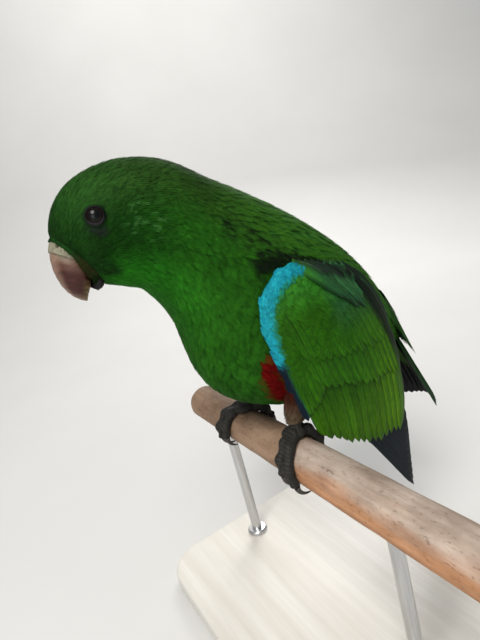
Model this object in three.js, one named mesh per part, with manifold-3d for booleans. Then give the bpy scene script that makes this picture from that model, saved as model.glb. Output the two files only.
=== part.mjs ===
// Male eclectus parrot, life size, leaning forward on a length of perch held by a plain stand.
// Millimetres, +Z up. The bird faces -X and its left side is -Y. The origin is the centre of
// the underside of the stand's base; the bird itself is drawn round the perch's axis.
import * as THREE from 'three';
import { mergeVertices } from 'three/addons/utils/BufferGeometryUtils.js';
import Module from 'manifold-3d';

const wasm = await Module();
wasm.setup();

// Gap that touching pieces keep
const GAP = 0.3;

// Stand and perch
const PERCH_RADIUS = 12;
const PERCH_AXIS_HEIGHT = 112;
const PERCH_NEAR_END = -150;
const PERCH_FAR_END = 96;
const PERCH_SIDES = 32;
const BASE_LENGTH = 170;
const BASE_WIDTH = 214;
const BASE_THICKNESS = 12;
const BASE_CORNER = 24;
const BASE_BEVEL = 1.5;
const BASE_CENTRE_X = 18;
const BASE_CENTRE_Y = -20;
const ROD_RADIUS = 3.5;
const ROD_PLACES = { near: -92, far: 62 };

// Head, neck and torso: back line x, z, breast line x, z, and half width, from bill to vent
const BODY_STATIONS = [
  [-82.5, 143.5, -66.5, 125, 9.5],
  [-81.5, 150, -65, 118.5, 15.5],
  [-77.2, 158.5, -60, 116, 20.0],
  [-68.2, 167, -55, 113.5, 24.0],
  [-52.0, 172.6, -48, 110, 27.0],
  [-35.6, 172.6, -43.5, 104, 28.8],
  [-20.0, 168, -39, 96, 30.6],
  [-1.5, 156, -35, 84, 33.0],
  [20.0, 142.5, -34, 71, 36.0],
  [45.0, 124.5, -32, 56, 38.5],
  [68.5, 103.5, -25, 42, 39.5],
  [86.0, 82, -8, 29, 38.0],
  [96.0, 62, 22, 18, 33.0],
  [102.0, 47, 58, 18, 24.0],
  [106.0, 36, 86, 24, 15.0],
];
const BODY_SIDES = 26;
const BODY_SQUARENESS = 0.9;
const HEAD_END = 5.4;
const NECK_END = 7.6;
const STATION_STEPS = 2;

// Eyes and lids
const EYE_ON_SKIN = [-65.2, 22.6, 149.8];
const EYE_OUTWARDS = [-0.3, 0.93, 0.16];
const EYE_DEPTH = 4.2;
const EYE_RADIUS = 6.4;
const LID_RING_RADIUS = 5.0;
const LID_THICKNESS = 1.1;
const LID_STAND_OUT = 4.1;

// Bill: culmen x, z, cutting edge x, z, and half width, from the base to the tip
const UPPER_BILL_STATIONS = [
  [-83.8, 142.0, -70.2, 129.5, 9.2],
  [-85.2, 135.5, -70.8, 124.5, 8.6],
  [-85.2, 129.0, -71.6, 120.4, 7.3],
  [-83.8, 122.8, -73.6, 117.2, 5.6],
  [-81.3, 118.2, -74.8, 115.0, 3.6],
  [-78.2, 115.0, -75.4, 113.6, 1.4],
];
const LOWER_BILL_STATIONS = [
  [-69.5, 127.0, -64.0, 122.0, 6.8],
  [-71.0, 122.0, -66.6, 117.8, 5.8],
  [-72.0, 119.4, -69.2, 116.8, 4.0],
];
const CERE_STATIONS = [
  [-82.4, 145.0, -69.4, 131.2, 10.3],
  [-83.8, 142.4, -70.4, 129.8, 9.8],
];
const BILL_SIDES = 16;
const NOSTRIL_RADIUS = 0.9;
const NOSTRIL_PLACE = [-80.6, 6.2, 141.2];

// The space that a folded wing takes, which the legs keep clear of, drawn in side view: front
// edge x, z, rear edge x, z, and how far it swells outwards and inwards of its middle surface
const WING_STATIONS = [
  [6, 104, 20, 105, 1.4, 5],
  [-7, 96, 38, 95, 3.2, 11],
  [-11, 80, 54, 80, 4.4, 13],
  [-8, 56, 65, 56, 4.0, 11],
  [-3, 36, 72, 36, 3.2, 8],
  [4, 17, 73, 16, 2.6, 4],
  [20, 2, 73, -1, 2.0, 2],
  [42, -14, 74, -16, 1.6, 1.6],
  [57, -32, 79, -34, 1.4, 1.4],
  [72, -54, 84, -56, 1.2, 1.2],
  [84, -71, 89, -73, 0.8, 0.8],
];
const WING_SPREAD_BY_HEIGHT = [
  [-80, 19],
  [-40, 30],
  [-10, 38],
  [20, 43],
  [50, 45],
  [80, 44],
  [115, 38],
];
const WING_CROWN = 0.0036;

// The smooth core of small coverts at the top of a wing, in the same terms
const WING_CORE_STATIONS = [
  [6, 104, 20, 105, 2.4, 5],
  [-7, 96, 38, 95, 4.2, 11],
  [-11, 80, 54, 80, 5.4, 13],
  [-9.5, 64, 60, 64, 5.0, 11],
  [-5, 55, 58, 55, 2.6, 8],
];

// Tiers of flight feathers and coverts. A tier gives the side-view course of its first and its
// last feather (root, two leads and tip); the others lie between them. Its tips sag below the
// straight line, its level is its height over the wing's middle surface, and each feather
// stands a step higher than the one before it.
const WING_TIERS = {
  primaries: {
    first: [[-5, 72], [8, 44], [42, 6], [87, -72]],
    last: [[12, 84], [24, 54], [52, 24], [73, -10]],
    count: 7,
    width: 14,
    sag: 0,
    level: -3.4,
    step: 0.45,
    tilt: 0.04,
    widths: [0.45, 0.95, 0.9, 0.5],
  },
  secondaries: {
    first: [[2, 74], [3, 50], [8, 30], [14, 9]],
    last: [[54, 78], [61, 57], [67, 30], [64, -10]],
    count: 9,
    width: 14,
    sag: 6.5,
    level: -0.4,
    step: 0.2,
    tilt: 0.1,
    widths: [0.45, 0.95, 1.0, 0.72],
  },
  primary_coverts: {
    first: [[-2, 80], [-4, 66], [-3, 50], [1, 27]],
    last: [[4, 84], [4, 70], [6, 54], [10, 38]],
    count: 3,
    width: 10,
    sag: 0,
    level: 0.9,
    step: 0.4,
    tilt: 0.06,
    widths: [0.45, 0.95, 1.0, 0.72],
  },
  greater_coverts: {
    first: [[2, 84], [5, 72], [8, 60], [12, 47]],
    last: [[50, 84], [56, 72], [61, 60], [65, 44]],
    count: 8,
    width: 12,
    sag: 5,
    level: 2.4,
    step: 0.1,
    tilt: 0.1,
    widths: [0.45, 0.95, 1.0, 0.72],
  },
};
const VANE_STATIONS = [0, 0.34, 0.7, 0.92];
const VANE_SEED = 20;
const VANE_VARIETY = 0.08;
const VANE_TIP_VARIETY = 1.6;
const VANE_FRONT_SHARE = 0.4;
const VANE_THICKNESS = 0.55;
const VANE_CAMBER = 0.25;
const WING_SHOULDER = [10, 96];
const RIGHT_WING_LIFT = THREE.MathUtils.degToRad(8);
const WING_AXIS_X = 34;
const WING_AXIS_Z = 40;
const WING_AXIS_LEAN = -0.35;

// Tail: it hangs from the rump, arched across like a low roof, and its feathers fan out of a
// core of coverts. Stations down the core: distance, half width, and how far it swells out of
// its back and its underside
const TAIL_BASE = [98, 0, 50];
const TAIL_SLOPE = THREE.MathUtils.degToRad(66);
const TAIL_ARCH = 0.02;
const TAIL_CORE_STATIONS = [
  [-14, 17, 9, 12],
  [4, 17, 6.5, 10],
  [22, 15, 3.8, 7],
  [36, 11, 1.8, 4.6],
];
const TAIL_FEATHERS_A_SIDE = 6;
const TAIL_FEATHER_WIDTH = 11.5;
const TAIL_ROOT_SPREAD = 10;
const TAIL_TIP_SPREAD = 17.5;
const TAIL_LENGTH = 84;
const TAIL_OUTER_SHORTER = 5;
const TAIL_LEVEL_STEP = 0.85;
const TAIL_VANE_WIDTHS = [0.45, 0.85, 1.0, 0.96];
const TAIL_VANE_STATIONS = [0, 0.3, 0.65, 0.955];

// Legs and feet, for the left side
const FOOT_Y = 27;
const LEG_STATIONS = [
  [18, 46, 15, 11],
  [12, 34, 12, 9.5],
  [6, 26, 8.5, 7.5],
  [3, 21.5, 6, 5.6],
];
const TARSUS_STATIONS = [
  [3, 21.2, 3.6],
  [1.4, 17.5, 3.9],
  [0, 13.5, 4.8],
];
const TOES = [
  { name: 'front_outer', end: 112, drift: -14, claw: 42 },
  { name: 'front_inner', end: 98, drift: -5, claw: 40 },
  { name: 'rear_outer', end: -104, drift: -1, claw: 42 },
  { name: 'rear_inner', end: -76, drift: 7, claw: 38 },
];
const TOE_ROOT_RADIUS = 3.3;
const TOE_TIP_RADIUS = 2.5;
const TOE_PAD_SWELL = 0.4;
const TOE_SIDES = 8;
const TOE_STEPS = 6;
const CLAW_ROOT_RADIUS = 1.75;
const CLAW_TIP_RADIUS = 0.35;

// Colours of the parts
const GREEN = new THREE.MeshStandardMaterial({ color: 0x1d6a1c, roughness: 0.75, metalness: 0 });
const WING_GREEN = new THREE.MeshStandardMaterial({ color: 0x2a7a1a, roughness: 0.7, metalness: 0 });
const HORN = new THREE.MeshStandardMaterial({ color: 0x9a6a58, roughness: 0.45, metalness: 0 });
const DARK_HORN = new THREE.MeshStandardMaterial({ color: 0x2a2420, roughness: 0.5, metalness: 0 });
const CERE_SKIN = new THREE.MeshStandardMaterial({ color: 0xb8a890, roughness: 0.6, metalness: 0 });
const EYE_DARK = new THREE.MeshStandardMaterial({ color: 0x0c0908, roughness: 0.1, metalness: 0 });
const FOOT_SKIN = new THREE.MeshStandardMaterial({ color: 0x55524e, roughness: 0.7, metalness: 0 });
const WOOD = new THREE.MeshStandardMaterial({ color: 0x9c7658, roughness: 0.8, metalness: 0 });
const STAND_FINISH = new THREE.MeshStandardMaterial({ color: 0xd8d5cf, roughness: 0.5, metalness: 0 });

const vector = (x, y, z) => new THREE.Vector3(x, y, z);
const lerp = THREE.MathUtils.lerp;
const radians = THREE.MathUtils.degToRad;

// Random numbers from -0.5 to 0.5 that are the same on every run
function seededDraw(seed) {
  let state = seed;
  return () => {
    state = (state * 1103515245 + 12345) % 2147483648;
    return state / 2147483648 - 0.5;
  };
}

function signedVolume(geometry) {
  const place = geometry.getAttribute('position');
  const index = geometry.getIndex();
  const corners = [vector(0, 0, 0), vector(0, 0, 0), vector(0, 0, 0)];
  let volume = 0;
  for (let i = 0; i < index.count; i += 3) {
    corners.forEach((corner, k) => corner.fromBufferAttribute(place, index.getX(i + k)));
    volume += corners[0].dot(corners[1].clone().cross(corners[2])) / 6;
  }
  return volume;
}

// A closed mesh from points and faces, with its faces turned outwards
function closedGeometry(points, faces) {
  const geometry = new THREE.BufferGeometry();
  geometry.setAttribute('position', new THREE.Float32BufferAttribute(points.flatMap((p) => [p.x, p.y, p.z]), 3));
  geometry.setIndex(faces.flat());
  if (signedVolume(geometry) < 0) {
    geometry.setIndex(faces.map(([a, b, c]) => [a, c, b]).flat());
  }
  return geometry;
}

// A body lofted through rings of equally many points, closed at both ends by a fan
function loft(rings, endPoint = null) {
  const sides = rings[0].length;
  const points = rings.flat();
  const faces = [];
  for (let r = 0; r + 1 < rings.length; r += 1) {
    for (let s = 0; s < sides; s += 1) {
      const a = r * sides + s;
      const b = r * sides + (s + 1) % sides;
      faces.push([a, b, b + sides], [a, b + sides, a + sides]);
    }
  }
  const middle = (ring) => ring.reduce((sum, p) => sum.add(p), vector(0, 0, 0)).divideScalar(sides);
  const first = points.push(middle(rings[0])) - 1;
  const last = points.push(endPoint ?? middle(rings[rings.length - 1])) - 1;
  const lastRing = (rings.length - 1) * sides;
  for (let s = 0; s < sides; s += 1) {
    const next = (s + 1) % sides;
    faces.push([first, next, s], [last, lastRing + s, lastRing + next]);
  }
  return closedGeometry(points, faces);
}

function toSolid(geometry) {
  const bare = geometry.clone();
  bare.deleteAttribute('normal');
  bare.deleteAttribute('uv');
  const merged = mergeVertices(bare, 1e-5);
  return new wasm.Manifold(new wasm.Mesh({
    numProp: 3,
    vertProperties: new Float32Array(merged.getAttribute('position').array),
    triVerts: new Uint32Array(merged.getIndex().array),
  }));
}

// The largest closed piece of a solid, as a mesh geometry
function toGeometry(solid) {
  const pieces = solid.decompose();
  const largest = pieces.reduce((best, piece) => (piece.volume() > best.volume() ? piece : best));
  const mesh = largest.getMesh();
  const geometry = new THREE.BufferGeometry();
  geometry.setAttribute('position', new THREE.BufferAttribute(new Float32Array(mesh.vertProperties), 3));
  geometry.setIndex(new THREE.BufferAttribute(new Uint32Array(mesh.triVerts), 1));
  return geometry;
}

function mirrored(geometry) {
  const copy = geometry.clone();
  const place = copy.getAttribute('position');
  for (let i = 0; i < place.count; i += 1) {
    place.setY(i, -place.getY(i));
  }
  const index = copy.getIndex();
  const turned = [];
  for (let i = 0; i < index.count; i += 3) {
    turned.push(index.getX(i), index.getX(i + 2), index.getX(i + 1));
  }
  copy.setIndex(turned);
  return copy;
}

// Smooth curves through the columns of a table of stations
function stationCurve(rows, pick) {
  return new THREE.CatmullRomCurve3(rows.map(pick), false, 'centripetal');
}

const backLine = stationCurve(BODY_STATIONS, ([x, z]) => vector(x, 0, z));
const breastLine = stationCurve(BODY_STATIONS, ([, , x, z]) => vector(x, 0, z));
const widthLine = stationCurve(BODY_STATIONS, ([, , , , w]) => vector(0, w, 0));

// One ring round the body at a station number, which may be a fraction
function bodyRing(station, grow) {
  const t = station / (BODY_STATIONS.length - 1);
  const back = backLine.getPoint(t);
  const breast = breastLine.getPoint(t);
  const middle = back.clone().add(breast).multiplyScalar(0.5);
  const half = back.clone().sub(breast).multiplyScalar(0.5);
  half.setLength(half.length() + grow);
  const width = widthLine.getPoint(t).y + grow;
  const ring = [];
  for (let s = 0; s < BODY_SIDES; s += 1) {
    const angle = (2 * Math.PI * s) / BODY_SIDES;
    const across = Math.sign(Math.sin(angle)) * Math.abs(Math.sin(angle)) ** BODY_SQUARENESS;
    ring.push(middle.clone().addScaledVector(half, Math.cos(angle)).add(vector(0, width * across, 0)));
  }
  return ring;
}

function bodyLength(from, to, grow = 0) {
  const steps = Math.max(2, Math.round((to - from) * STATION_STEPS));
  const rings = [];
  for (let i = 0; i <= steps; i += 1) {
    rings.push(bodyRing(lerp(from, to, i / steps), grow));
  }
  return loft(rings);
}

// Station numbers that leave the gap between two lengths of the body
function stationGap(station) {
  const t = station / (BODY_STATIONS.length - 1);
  const step = 0.01;
  const ahead = (station + step) / (BODY_STATIONS.length - 1);
  const shorter = Math.min(
    backLine.getPoint(ahead).distanceTo(backLine.getPoint(t)),
    breastLine.getPoint(ahead).distanceTo(breastLine.getPoint(t)),
  );
  return (GAP * step) / shorter;
}

function ballGeometry(radius, centre, across = 18, up = 10) {
  const ball = new THREE.SphereGeometry(radius, across, up);
  ball.translate(centre[0], centre[1], centre[2]);
  return ball;
}

// A ring from a back point, a front point and a half width, as used along the bill
function billRing([topX, topZ, bottomX, bottomZ, width], grow) {
  const top = vector(topX, 0, topZ);
  const bottom = vector(bottomX, 0, bottomZ);
  const middle = top.clone().add(bottom).multiplyScalar(0.5);
  const half = top.clone().sub(bottom).multiplyScalar(0.5);
  half.setLength(half.length() + grow);
  const ring = [];
  for (let s = 0; s < BILL_SIDES; s += 1) {
    const angle = (2 * Math.PI * s) / BILL_SIDES;
    ring.push(middle.clone().addScaledVector(half, Math.cos(angle))
      .add(vector(0, (width + grow) * Math.sin(angle), 0)));
  }
  return ring;
}

function billGeometry(stations, grow = 0) {
  const rings = stations.map((station) => billRing(station, grow));
  if (grow > 0) {
    const first = middleOf(rings[0]);
    const second = middleOf(rings[1]);
    const back = first.clone().sub(second).setLength(grow);
    rings.unshift(rings[0].map((p) => p.clone().add(back)));
  }
  return loft(rings);
}

function middleOf(ring) {
  return ring.reduce((sum, p) => sum.add(p), vector(0, 0, 0)).divideScalar(ring.length);
}

// Outward direction of the eye, with side -1 for the left and 1 for the right
function eyeDirection(side) {
  return vector(EYE_OUTWARDS[0], side * EYE_OUTWARDS[1], EYE_OUTWARDS[2]).normalize();
}

function eyeCentre(side) {
  const skin = vector(EYE_ON_SKIN[0], side * EYE_ON_SKIN[1], EYE_ON_SKIN[2]);
  return skin.addScaledVector(eyeDirection(side), -EYE_DEPTH);
}

function lidGeometry() {
  const ring = new THREE.TorusGeometry(LID_RING_RADIUS, LID_THICKNESS, 6, 24);
  ring.lookAt(eyeDirection(-1));
  const centre = eyeCentre(-1).addScaledVector(eyeDirection(-1), LID_STAND_OUT);
  ring.translate(centre.x, centre.y, centre.z);
  return ring;
}

function headGeometry() {
  let head = toSolid(bodyLength(0, HEAD_END));
  const lid = lidGeometry();
  head = head.add(toSolid(lid)).add(toSolid(mirrored(lid)));
  for (const side of [-1, 1]) {
    const centre = eyeCentre(side);
    head = head.subtract(toSolid(ballGeometry(EYE_RADIUS + GAP, centre.toArray())));
  }
  head = head.subtract(toSolid(billGeometry(CERE_STATIONS, GAP)));
  head = head.subtract(toSolid(billGeometry(UPPER_BILL_STATIONS, GAP)));
  head = head.subtract(toSolid(billGeometry(LOWER_BILL_STATIONS, GAP)));
  return toGeometry(head);
}

function cereGeometry() {
  let cere = toSolid(billGeometry(CERE_STATIONS));
  cere = cere.subtract(toSolid(billGeometry(UPPER_BILL_STATIONS, GAP)));
  cere = cere.subtract(toSolid(billGeometry(LOWER_BILL_STATIONS, GAP)));
  for (const side of [-1, 1]) {
    const [x, y, z] = NOSTRIL_PLACE;
    cere = cere.subtract(toSolid(ballGeometry(NOSTRIL_RADIUS, [x, side * y, z], 10, 6)));
  }
  return toGeometry(cere);
}

// Distance of the wing's middle surface from the bird's middle plane
const wingSpread = new THREE.SplineCurve(WING_SPREAD_BY_HEIGHT.map(([z, y]) => new THREE.Vector2(z, y)));

function wingDepth(x, z) {
  const lowest = WING_SPREAD_BY_HEIGHT[0][0];
  const highest = WING_SPREAD_BY_HEIGHT[WING_SPREAD_BY_HEIGHT.length - 1][0];
  let low = 0;
  let high = 1;
  const wanted = THREE.MathUtils.clamp(z, lowest, highest);
  for (let i = 0; i < 24; i += 1) {
    const half = (low + high) / 2;
    if (wingSpread.getPoint(half).x < wanted) low = half;
    else high = half;
  }
  const offAxis = x - (WING_AXIS_X + (z - WING_AXIS_Z) * WING_AXIS_LEAN);
  return wingSpread.getPoint(low).y - WING_CROWN * offAxis * offAxis;
}

const wingPoint = (x, z, height) => vector(x, -(wingDepth(x, z) + height), z);

// A feather along a course on a surface, with six points round at each station. Both faces are
// split alike, so that a thin vane that bends never crosses itself.
function vane({ course, widths, stations, width, level, tilt, surface }) {
  const [frontShare, half] = [VANE_FRONT_SHARE * width, VANE_THICKNESS / 2];
  const points = [];
  stations.forEach((t, i) => {
    const centre = course.getPoint(t);
    const along = course.getTangent(t);
    const rear = [width * widths[i] - frontShare * widths[i], -frontShare * widths[i]];
    const row = [[rear[1], 0], [0, VANE_CAMBER], [rear[0], 0]].map(([off, rise]) => (side) => surface(
      centre.x - along.y * off,
      centre.y + along.x * off,
      level - tilt * off + rise + side * half,
    ));
    row.forEach((at) => points.push(at(1)));
    row.reverse().forEach((at) => points.push(at(-1)));
  });
  const faces = [];
  for (let r = 0; r + 1 < stations.length; r += 1) {
    for (let j = 0; j < 6; j += 1) {
      const a = 6 * r + j;
      const b = 6 * r + (j + 1) % 6;
      if (j === 3 || j === 4) faces.push([a, b, a + 6], [b, b + 6, a + 6]);
      else faces.push([a, b, b + 6], [a, b + 6, a + 6]);
    }
  }
  const tip = course.getPoint(1);
  const last = 6 * (stations.length - 1);
  const end = points.push(surface(tip.x, tip.y, level)) - 1;
  for (let j = 0; j < 6; j += 1) {
    faces.push([end, last + j, last + (j + 1) % 6]);
  }
  faces.push([0, 5, 1], [1, 5, 4], [1, 4, 2], [2, 4, 3]);
  return closedGeometry(points, faces);
}

function tierVanes(tier, tierIndex) {
  const draw = seededDraw(VANE_SEED + tierIndex);
  const between = (share) => tier.first.map(([x, z], k) => {
    const [lastX, lastZ] = tier.last[k];
    const sag = tier.sag * Math.sin(Math.PI * share) * (k / 3);
    return new THREE.Vector2(lerp(x, lastX, share), lerp(z, lastZ, share) - sag);
  });
  return Array.from({ length: tier.count }, (_, i) => {
    const line = between(i / (tier.count - 1));
    line[3].y += VANE_TIP_VARIETY * draw();
    return vane({
      course: new THREE.CubicBezierCurve(...line),
      stations: VANE_STATIONS,
      widths: tier.widths,
      width: tier.width * (1 + VANE_VARIETY * draw()),
      level: tier.level + tier.step * i,
      tilt: tier.tilt,
      surface: wingPoint,
    });
  });
}

// The left wing as one smooth shell between its front and rear edges
function wingShell(stations) {
  const across = 8;
  const rings = stations.map(([frontX, frontZ, rearX, rearZ, swellOut, swellIn]) => {
    const ring = [];
    for (let i = 0; i < 2 * across; i += 1) {
      const outer = i < across;
      const u = outer ? i / across : (2 * across - i) / across;
      const height = Math.sin(Math.PI * u) ** 0.6 * (outer ? swellOut : -swellIn);
      const x = lerp(frontX, rearX, u);
      const z = lerp(frontZ, rearZ, u);
      ring.push(wingPoint(x, z, height));
    }
    return ring;
  });
  return loft(rings);
}

// The right wing is folded a little higher: it turns back about its shoulder
function toRightWing(geometry) {
  const [x, z] = WING_SHOULDER;
  const turned = mirrored(geometry);
  turned.translate(-x, 0, -z);
  turned.rotateY(-RIGHT_WING_LIFT);
  turned.translate(x, 0, z);
  return turned;
}

const wholeBody = toSolid(bodyLength(0, BODY_STATIONS.length - 1, GAP));

// The wing: a core of small coverts with the tiers of long feathers rooted in it
function wingGeometry(turn) {
  let wing = toSolid(turn(wingShell(WING_CORE_STATIONS)));
  Object.values(WING_TIERS).flatMap(tierVanes).forEach((feather) => {
    wing = wing.add(toSolid(turn(feather)));
  });
  return toGeometry(wing.subtract(wholeBody));
}

// Tail frame: u across the tail, v down its length and h out of its back
const tailDown = vector(Math.cos(TAIL_SLOPE), 0, -Math.sin(TAIL_SLOPE));
const tailOut = vector(Math.sin(TAIL_SLOPE), 0, Math.cos(TAIL_SLOPE));

function tailPoint(u, v, height) {
  return vector(...TAIL_BASE)
    .addScaledVector(tailDown, v)
    .addScaledVector(tailOut, height - TAIL_ARCH * u * u)
    .add(vector(0, u, 0));
}

function tailShell(stations) {
  const across = 8;
  const rings = stations.map(([v, width, swellOut, swellIn]) => {
    const ring = [];
    for (let i = 0; i < 2 * across; i += 1) {
      const outer = i < across;
      const u = outer ? i / across : (2 * across - i) / across;
      const height = Math.sin(Math.PI * u) ** 0.5 * (outer ? swellOut : -swellIn);
      ring.push(tailPoint(lerp(-width, width, u), v, height));
    }
    return ring;
  });
  return loft(rings);
}

const grownWing = wingShell(WING_STATIONS.map((row) => row.map((value, i) => (i < 4 ? value : value + GAP))));

function tailVane(index, side) {
  const share = (index + 0.5) / TAIL_FEATHERS_A_SIDE;
  const rootAcross = side * TAIL_ROOT_SPREAD * share;
  const tipAcross = side * TAIL_TIP_SPREAD * share;
  const length = TAIL_LENGTH - TAIL_OUTER_SHORTER * share * share;
  return vane({
    course: new THREE.CubicBezierCurve(
      new THREE.Vector2(rootAcross, 0),
      new THREE.Vector2(lerp(rootAcross, tipAcross, 0.25), length / 3),
      new THREE.Vector2(lerp(rootAcross, tipAcross, 0.7), (2 * length) / 3),
      new THREE.Vector2(tipAcross, length),
    ),
    stations: TAIL_VANE_STATIONS,
    widths: TAIL_VANE_WIDTHS,
    width: TAIL_FEATHER_WIDTH,
    level: -TAIL_LEVEL_STEP * (index + (side > 0 ? 0 : 0.5)),
    tilt: 0,
    surface: tailPoint,
  });
}

function tailGeometry() {
  let tail = toSolid(tailShell(TAIL_CORE_STATIONS));
  for (let index = 0; index < TAIL_FEATHERS_A_SIDE; index += 1) {
    tail = tail.add(toSolid(tailVane(index, 1))).add(toSolid(tailVane(index, -1)));
  }
  return toGeometry(tail.subtract(wholeBody));
}

function flatRing(centre, radiusX, radiusY, sides) {
  const ring = [];
  for (let s = 0; s < sides; s += 1) {
    const angle = (2 * Math.PI * s) / sides;
    ring.push(centre.clone().add(vector(radiusX * Math.cos(angle), radiusY * Math.sin(angle), 0)));
  }
  return ring;
}

function legGeometry() {
  const rings = LEG_STATIONS.map(([x, z, rx, ry]) => flatRing(vector(x, -FOOT_Y, z), rx, ry, 16));
  return toGeometry(toSolid(loft(rings)).subtract(wholeBody).subtract(toSolid(grownWing)));
}

function perchGeometry(radius, sides = PERCH_SIDES) {
  const bevel = 1.2;
  const profile = [
    [0, PERCH_NEAR_END],
    [radius - bevel, PERCH_NEAR_END],
    [radius, PERCH_NEAR_END + bevel],
    [radius, PERCH_FAR_END - bevel],
    [radius - bevel, PERCH_FAR_END],
    [0, PERCH_FAR_END],
  ].map(([r, y]) => new THREE.Vector2(r, y));
  return new THREE.LatheGeometry(profile, sides);
}

// A point over the perch: angle from its top, forwards positive, and distance from its axis
function roundPerch(angle, distance, y) {
  return vector(-Math.sin(angle) * distance, y, Math.cos(angle) * distance);
}

function tubeRing(angle, distance, y, radius, sides) {
  const outwards = vector(-Math.sin(angle), 0, Math.cos(angle));
  const centre = roundPerch(angle, distance, y);
  const ring = [];
  for (let s = 0; s < sides; s += 1) {
    const turn = (2 * Math.PI * s) / sides;
    ring.push(centre.clone()
      .addScaledVector(outwards, radius * Math.cos(turn))
      .add(vector(0, radius * Math.sin(turn), 0)));
  }
  return ring;
}

// The bearing surface of the perch, widened so that its flats clear the pieces on it
const perchReach = PERCH_RADIUS + GAP;

function toeGeometry(toe) {
  const rings = [];
  for (let i = 0; i <= TOE_STEPS; i += 1) {
    const t = i / TOE_STEPS;
    const swell = TOE_PAD_SWELL * Math.cos(3 * 2 * Math.PI * t) * (t > 0 && t < 1 ? 1 : 0);
    const radius = lerp(TOE_ROOT_RADIUS, TOE_TIP_RADIUS, t) + swell;
    const angle = radians(toe.end * t);
    const y = -FOOT_Y + toe.drift * Math.sqrt(t);
    rings.push(tubeRing(angle, perchReach + radius * 0.96, y, radius, TOE_SIDES));
  }
  return loft(rings);
}

function clawGeometry(toe) {
  const steps = 5;
  const turn = Math.sign(toe.end);
  const start = toe.end + turn * THREE.MathUtils.radToDeg(GAP / perchReach) * 1.1;
  const rings = [];
  for (let i = 0; i < steps; i += 1) {
    const t = i / steps;
    const radius = lerp(CLAW_ROOT_RADIUS, CLAW_TIP_RADIUS, t);
    const lift = lerp(TOE_TIP_RADIUS, 0.9, t * t) + 0.8 * Math.sin(Math.PI * t);
    const angle = radians(start + turn * toe.claw * t);
    rings.push(tubeRing(angle, perchReach + lift, -FOOT_Y + toe.drift, radius, 8));
  }
  const tip = roundPerch(radians(start + turn * toe.claw), perchReach + 0.6, -FOOT_Y + toe.drift);
  return loft(rings, tip);
}

function footGeometry() {
  const shank = TARSUS_STATIONS.map(([x, z, r]) => flatRing(vector(x, -FOOT_Y, z), r, r, 12));
  let foot = toSolid(loft(shank));
  const palm = new THREE.SphereGeometry(1, 14, 8);
  palm.scale(7, 7, 3.9);
  palm.translate(0, -FOOT_Y, perchReach + 2.4);
  foot = foot.add(toSolid(palm));
  TOES.forEach((toe) => {
    foot = foot.add(toSolid(toeGeometry(toe)));
  });
  return toGeometry(foot.subtract(toSolid(perchGeometry(perchReach, PERCH_SIDES))));
}

function baseGeometry() {
  const halfX = BASE_LENGTH / 2 - BASE_BEVEL;
  const halfY = BASE_WIDTH / 2 - BASE_BEVEL;
  const r = BASE_CORNER - BASE_BEVEL;
  const outline = new THREE.Shape();
  outline.absarc(halfX - r, halfY - r, r, 0, Math.PI / 2);
  outline.absarc(-halfX + r, halfY - r, r, Math.PI / 2, Math.PI);
  outline.absarc(-halfX + r, -halfY + r, r, Math.PI, 1.5 * Math.PI);
  outline.absarc(halfX - r, -halfY + r, r, 1.5 * Math.PI, 2 * Math.PI);
  const slab = new THREE.ExtrudeGeometry(outline, {
    depth: BASE_THICKNESS - 2 * BASE_BEVEL,
    bevelThickness: BASE_BEVEL,
    bevelSize: BASE_BEVEL,
    bevelSegments: 1,
    curveSegments: 6,
  });
  slab.translate(0, 0, BASE_BEVEL);
  return toGeometry(toSolid(slab));
}

function rodGeometry(y) {
  const foot = BASE_THICKNESS - PERCH_AXIS_HEIGHT + GAP;
  const rod = new THREE.CylinderGeometry(ROD_RADIUS, ROD_RADIUS, -foot, 20);
  rod.rotateX(Math.PI / 2);
  rod.translate(0, y, foot / 2);
  return toGeometry(toSolid(rod).subtract(toSolid(perchGeometry(perchReach))));
}

const parrot = new THREE.Group();
const bird = new THREE.Group();
bird.position.set(-BASE_CENTRE_X, -BASE_CENTRE_Y, PERCH_AXIS_HEIGHT);
parrot.add(bird);

function place(group, name, geometry, material) {
  const mesh = new THREE.Mesh(geometry, material);
  mesh.name = name;
  group.add(mesh);
}

function placePair(name, leftGeometry, material) {
  place(bird, `${name}_left`, leftGeometry, material);
  place(bird, `${name}_right`, mirrored(leftGeometry), material);
}

place(bird, 'head', headGeometry(), GREEN);
place(bird, 'neck', bodyLength(HEAD_END + stationGap(HEAD_END), NECK_END), GREEN);
place(bird, 'torso', bodyLength(NECK_END + stationGap(NECK_END), BODY_STATIONS.length - 1), GREEN);
place(bird, 'cere', cereGeometry(), CERE_SKIN);
const upperBill = toSolid(billGeometry(UPPER_BILL_STATIONS));
const lowerBill = toSolid(billGeometry(LOWER_BILL_STATIONS));
place(bird, 'bill_upper', toGeometry(upperBill), HORN);
place(bird, 'bill_lower',
  toGeometry(lowerBill.subtract(toSolid(billGeometry(UPPER_BILL_STATIONS, GAP)))), DARK_HORN);
placePair('eye', toGeometry(toSolid(ballGeometry(EYE_RADIUS, eyeCentre(-1).toArray()))), EYE_DARK);
place(bird, 'wing_left', wingGeometry((shape) => shape), WING_GREEN);
place(bird, 'wing_right', wingGeometry(toRightWing), WING_GREEN);
place(bird, 'tail', tailGeometry(), WING_GREEN);
placePair('leg', legGeometry(), GREEN);
placePair('foot', footGeometry(), FOOT_SKIN);
TOES.forEach((toe) => placePair(`claw_${toe.name}`, clawGeometry(toe), DARK_HORN));
place(bird, 'perch', toGeometry(toSolid(perchGeometry(PERCH_RADIUS))), WOOD);
place(parrot, 'stand_base', baseGeometry(), STAND_FINISH);
for (const [name, y] of Object.entries(ROD_PLACES)) {
  place(bird, `stand_rod_${name}`, rodGeometry(y), STAND_FINISH);
}

export default parrot;
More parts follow.
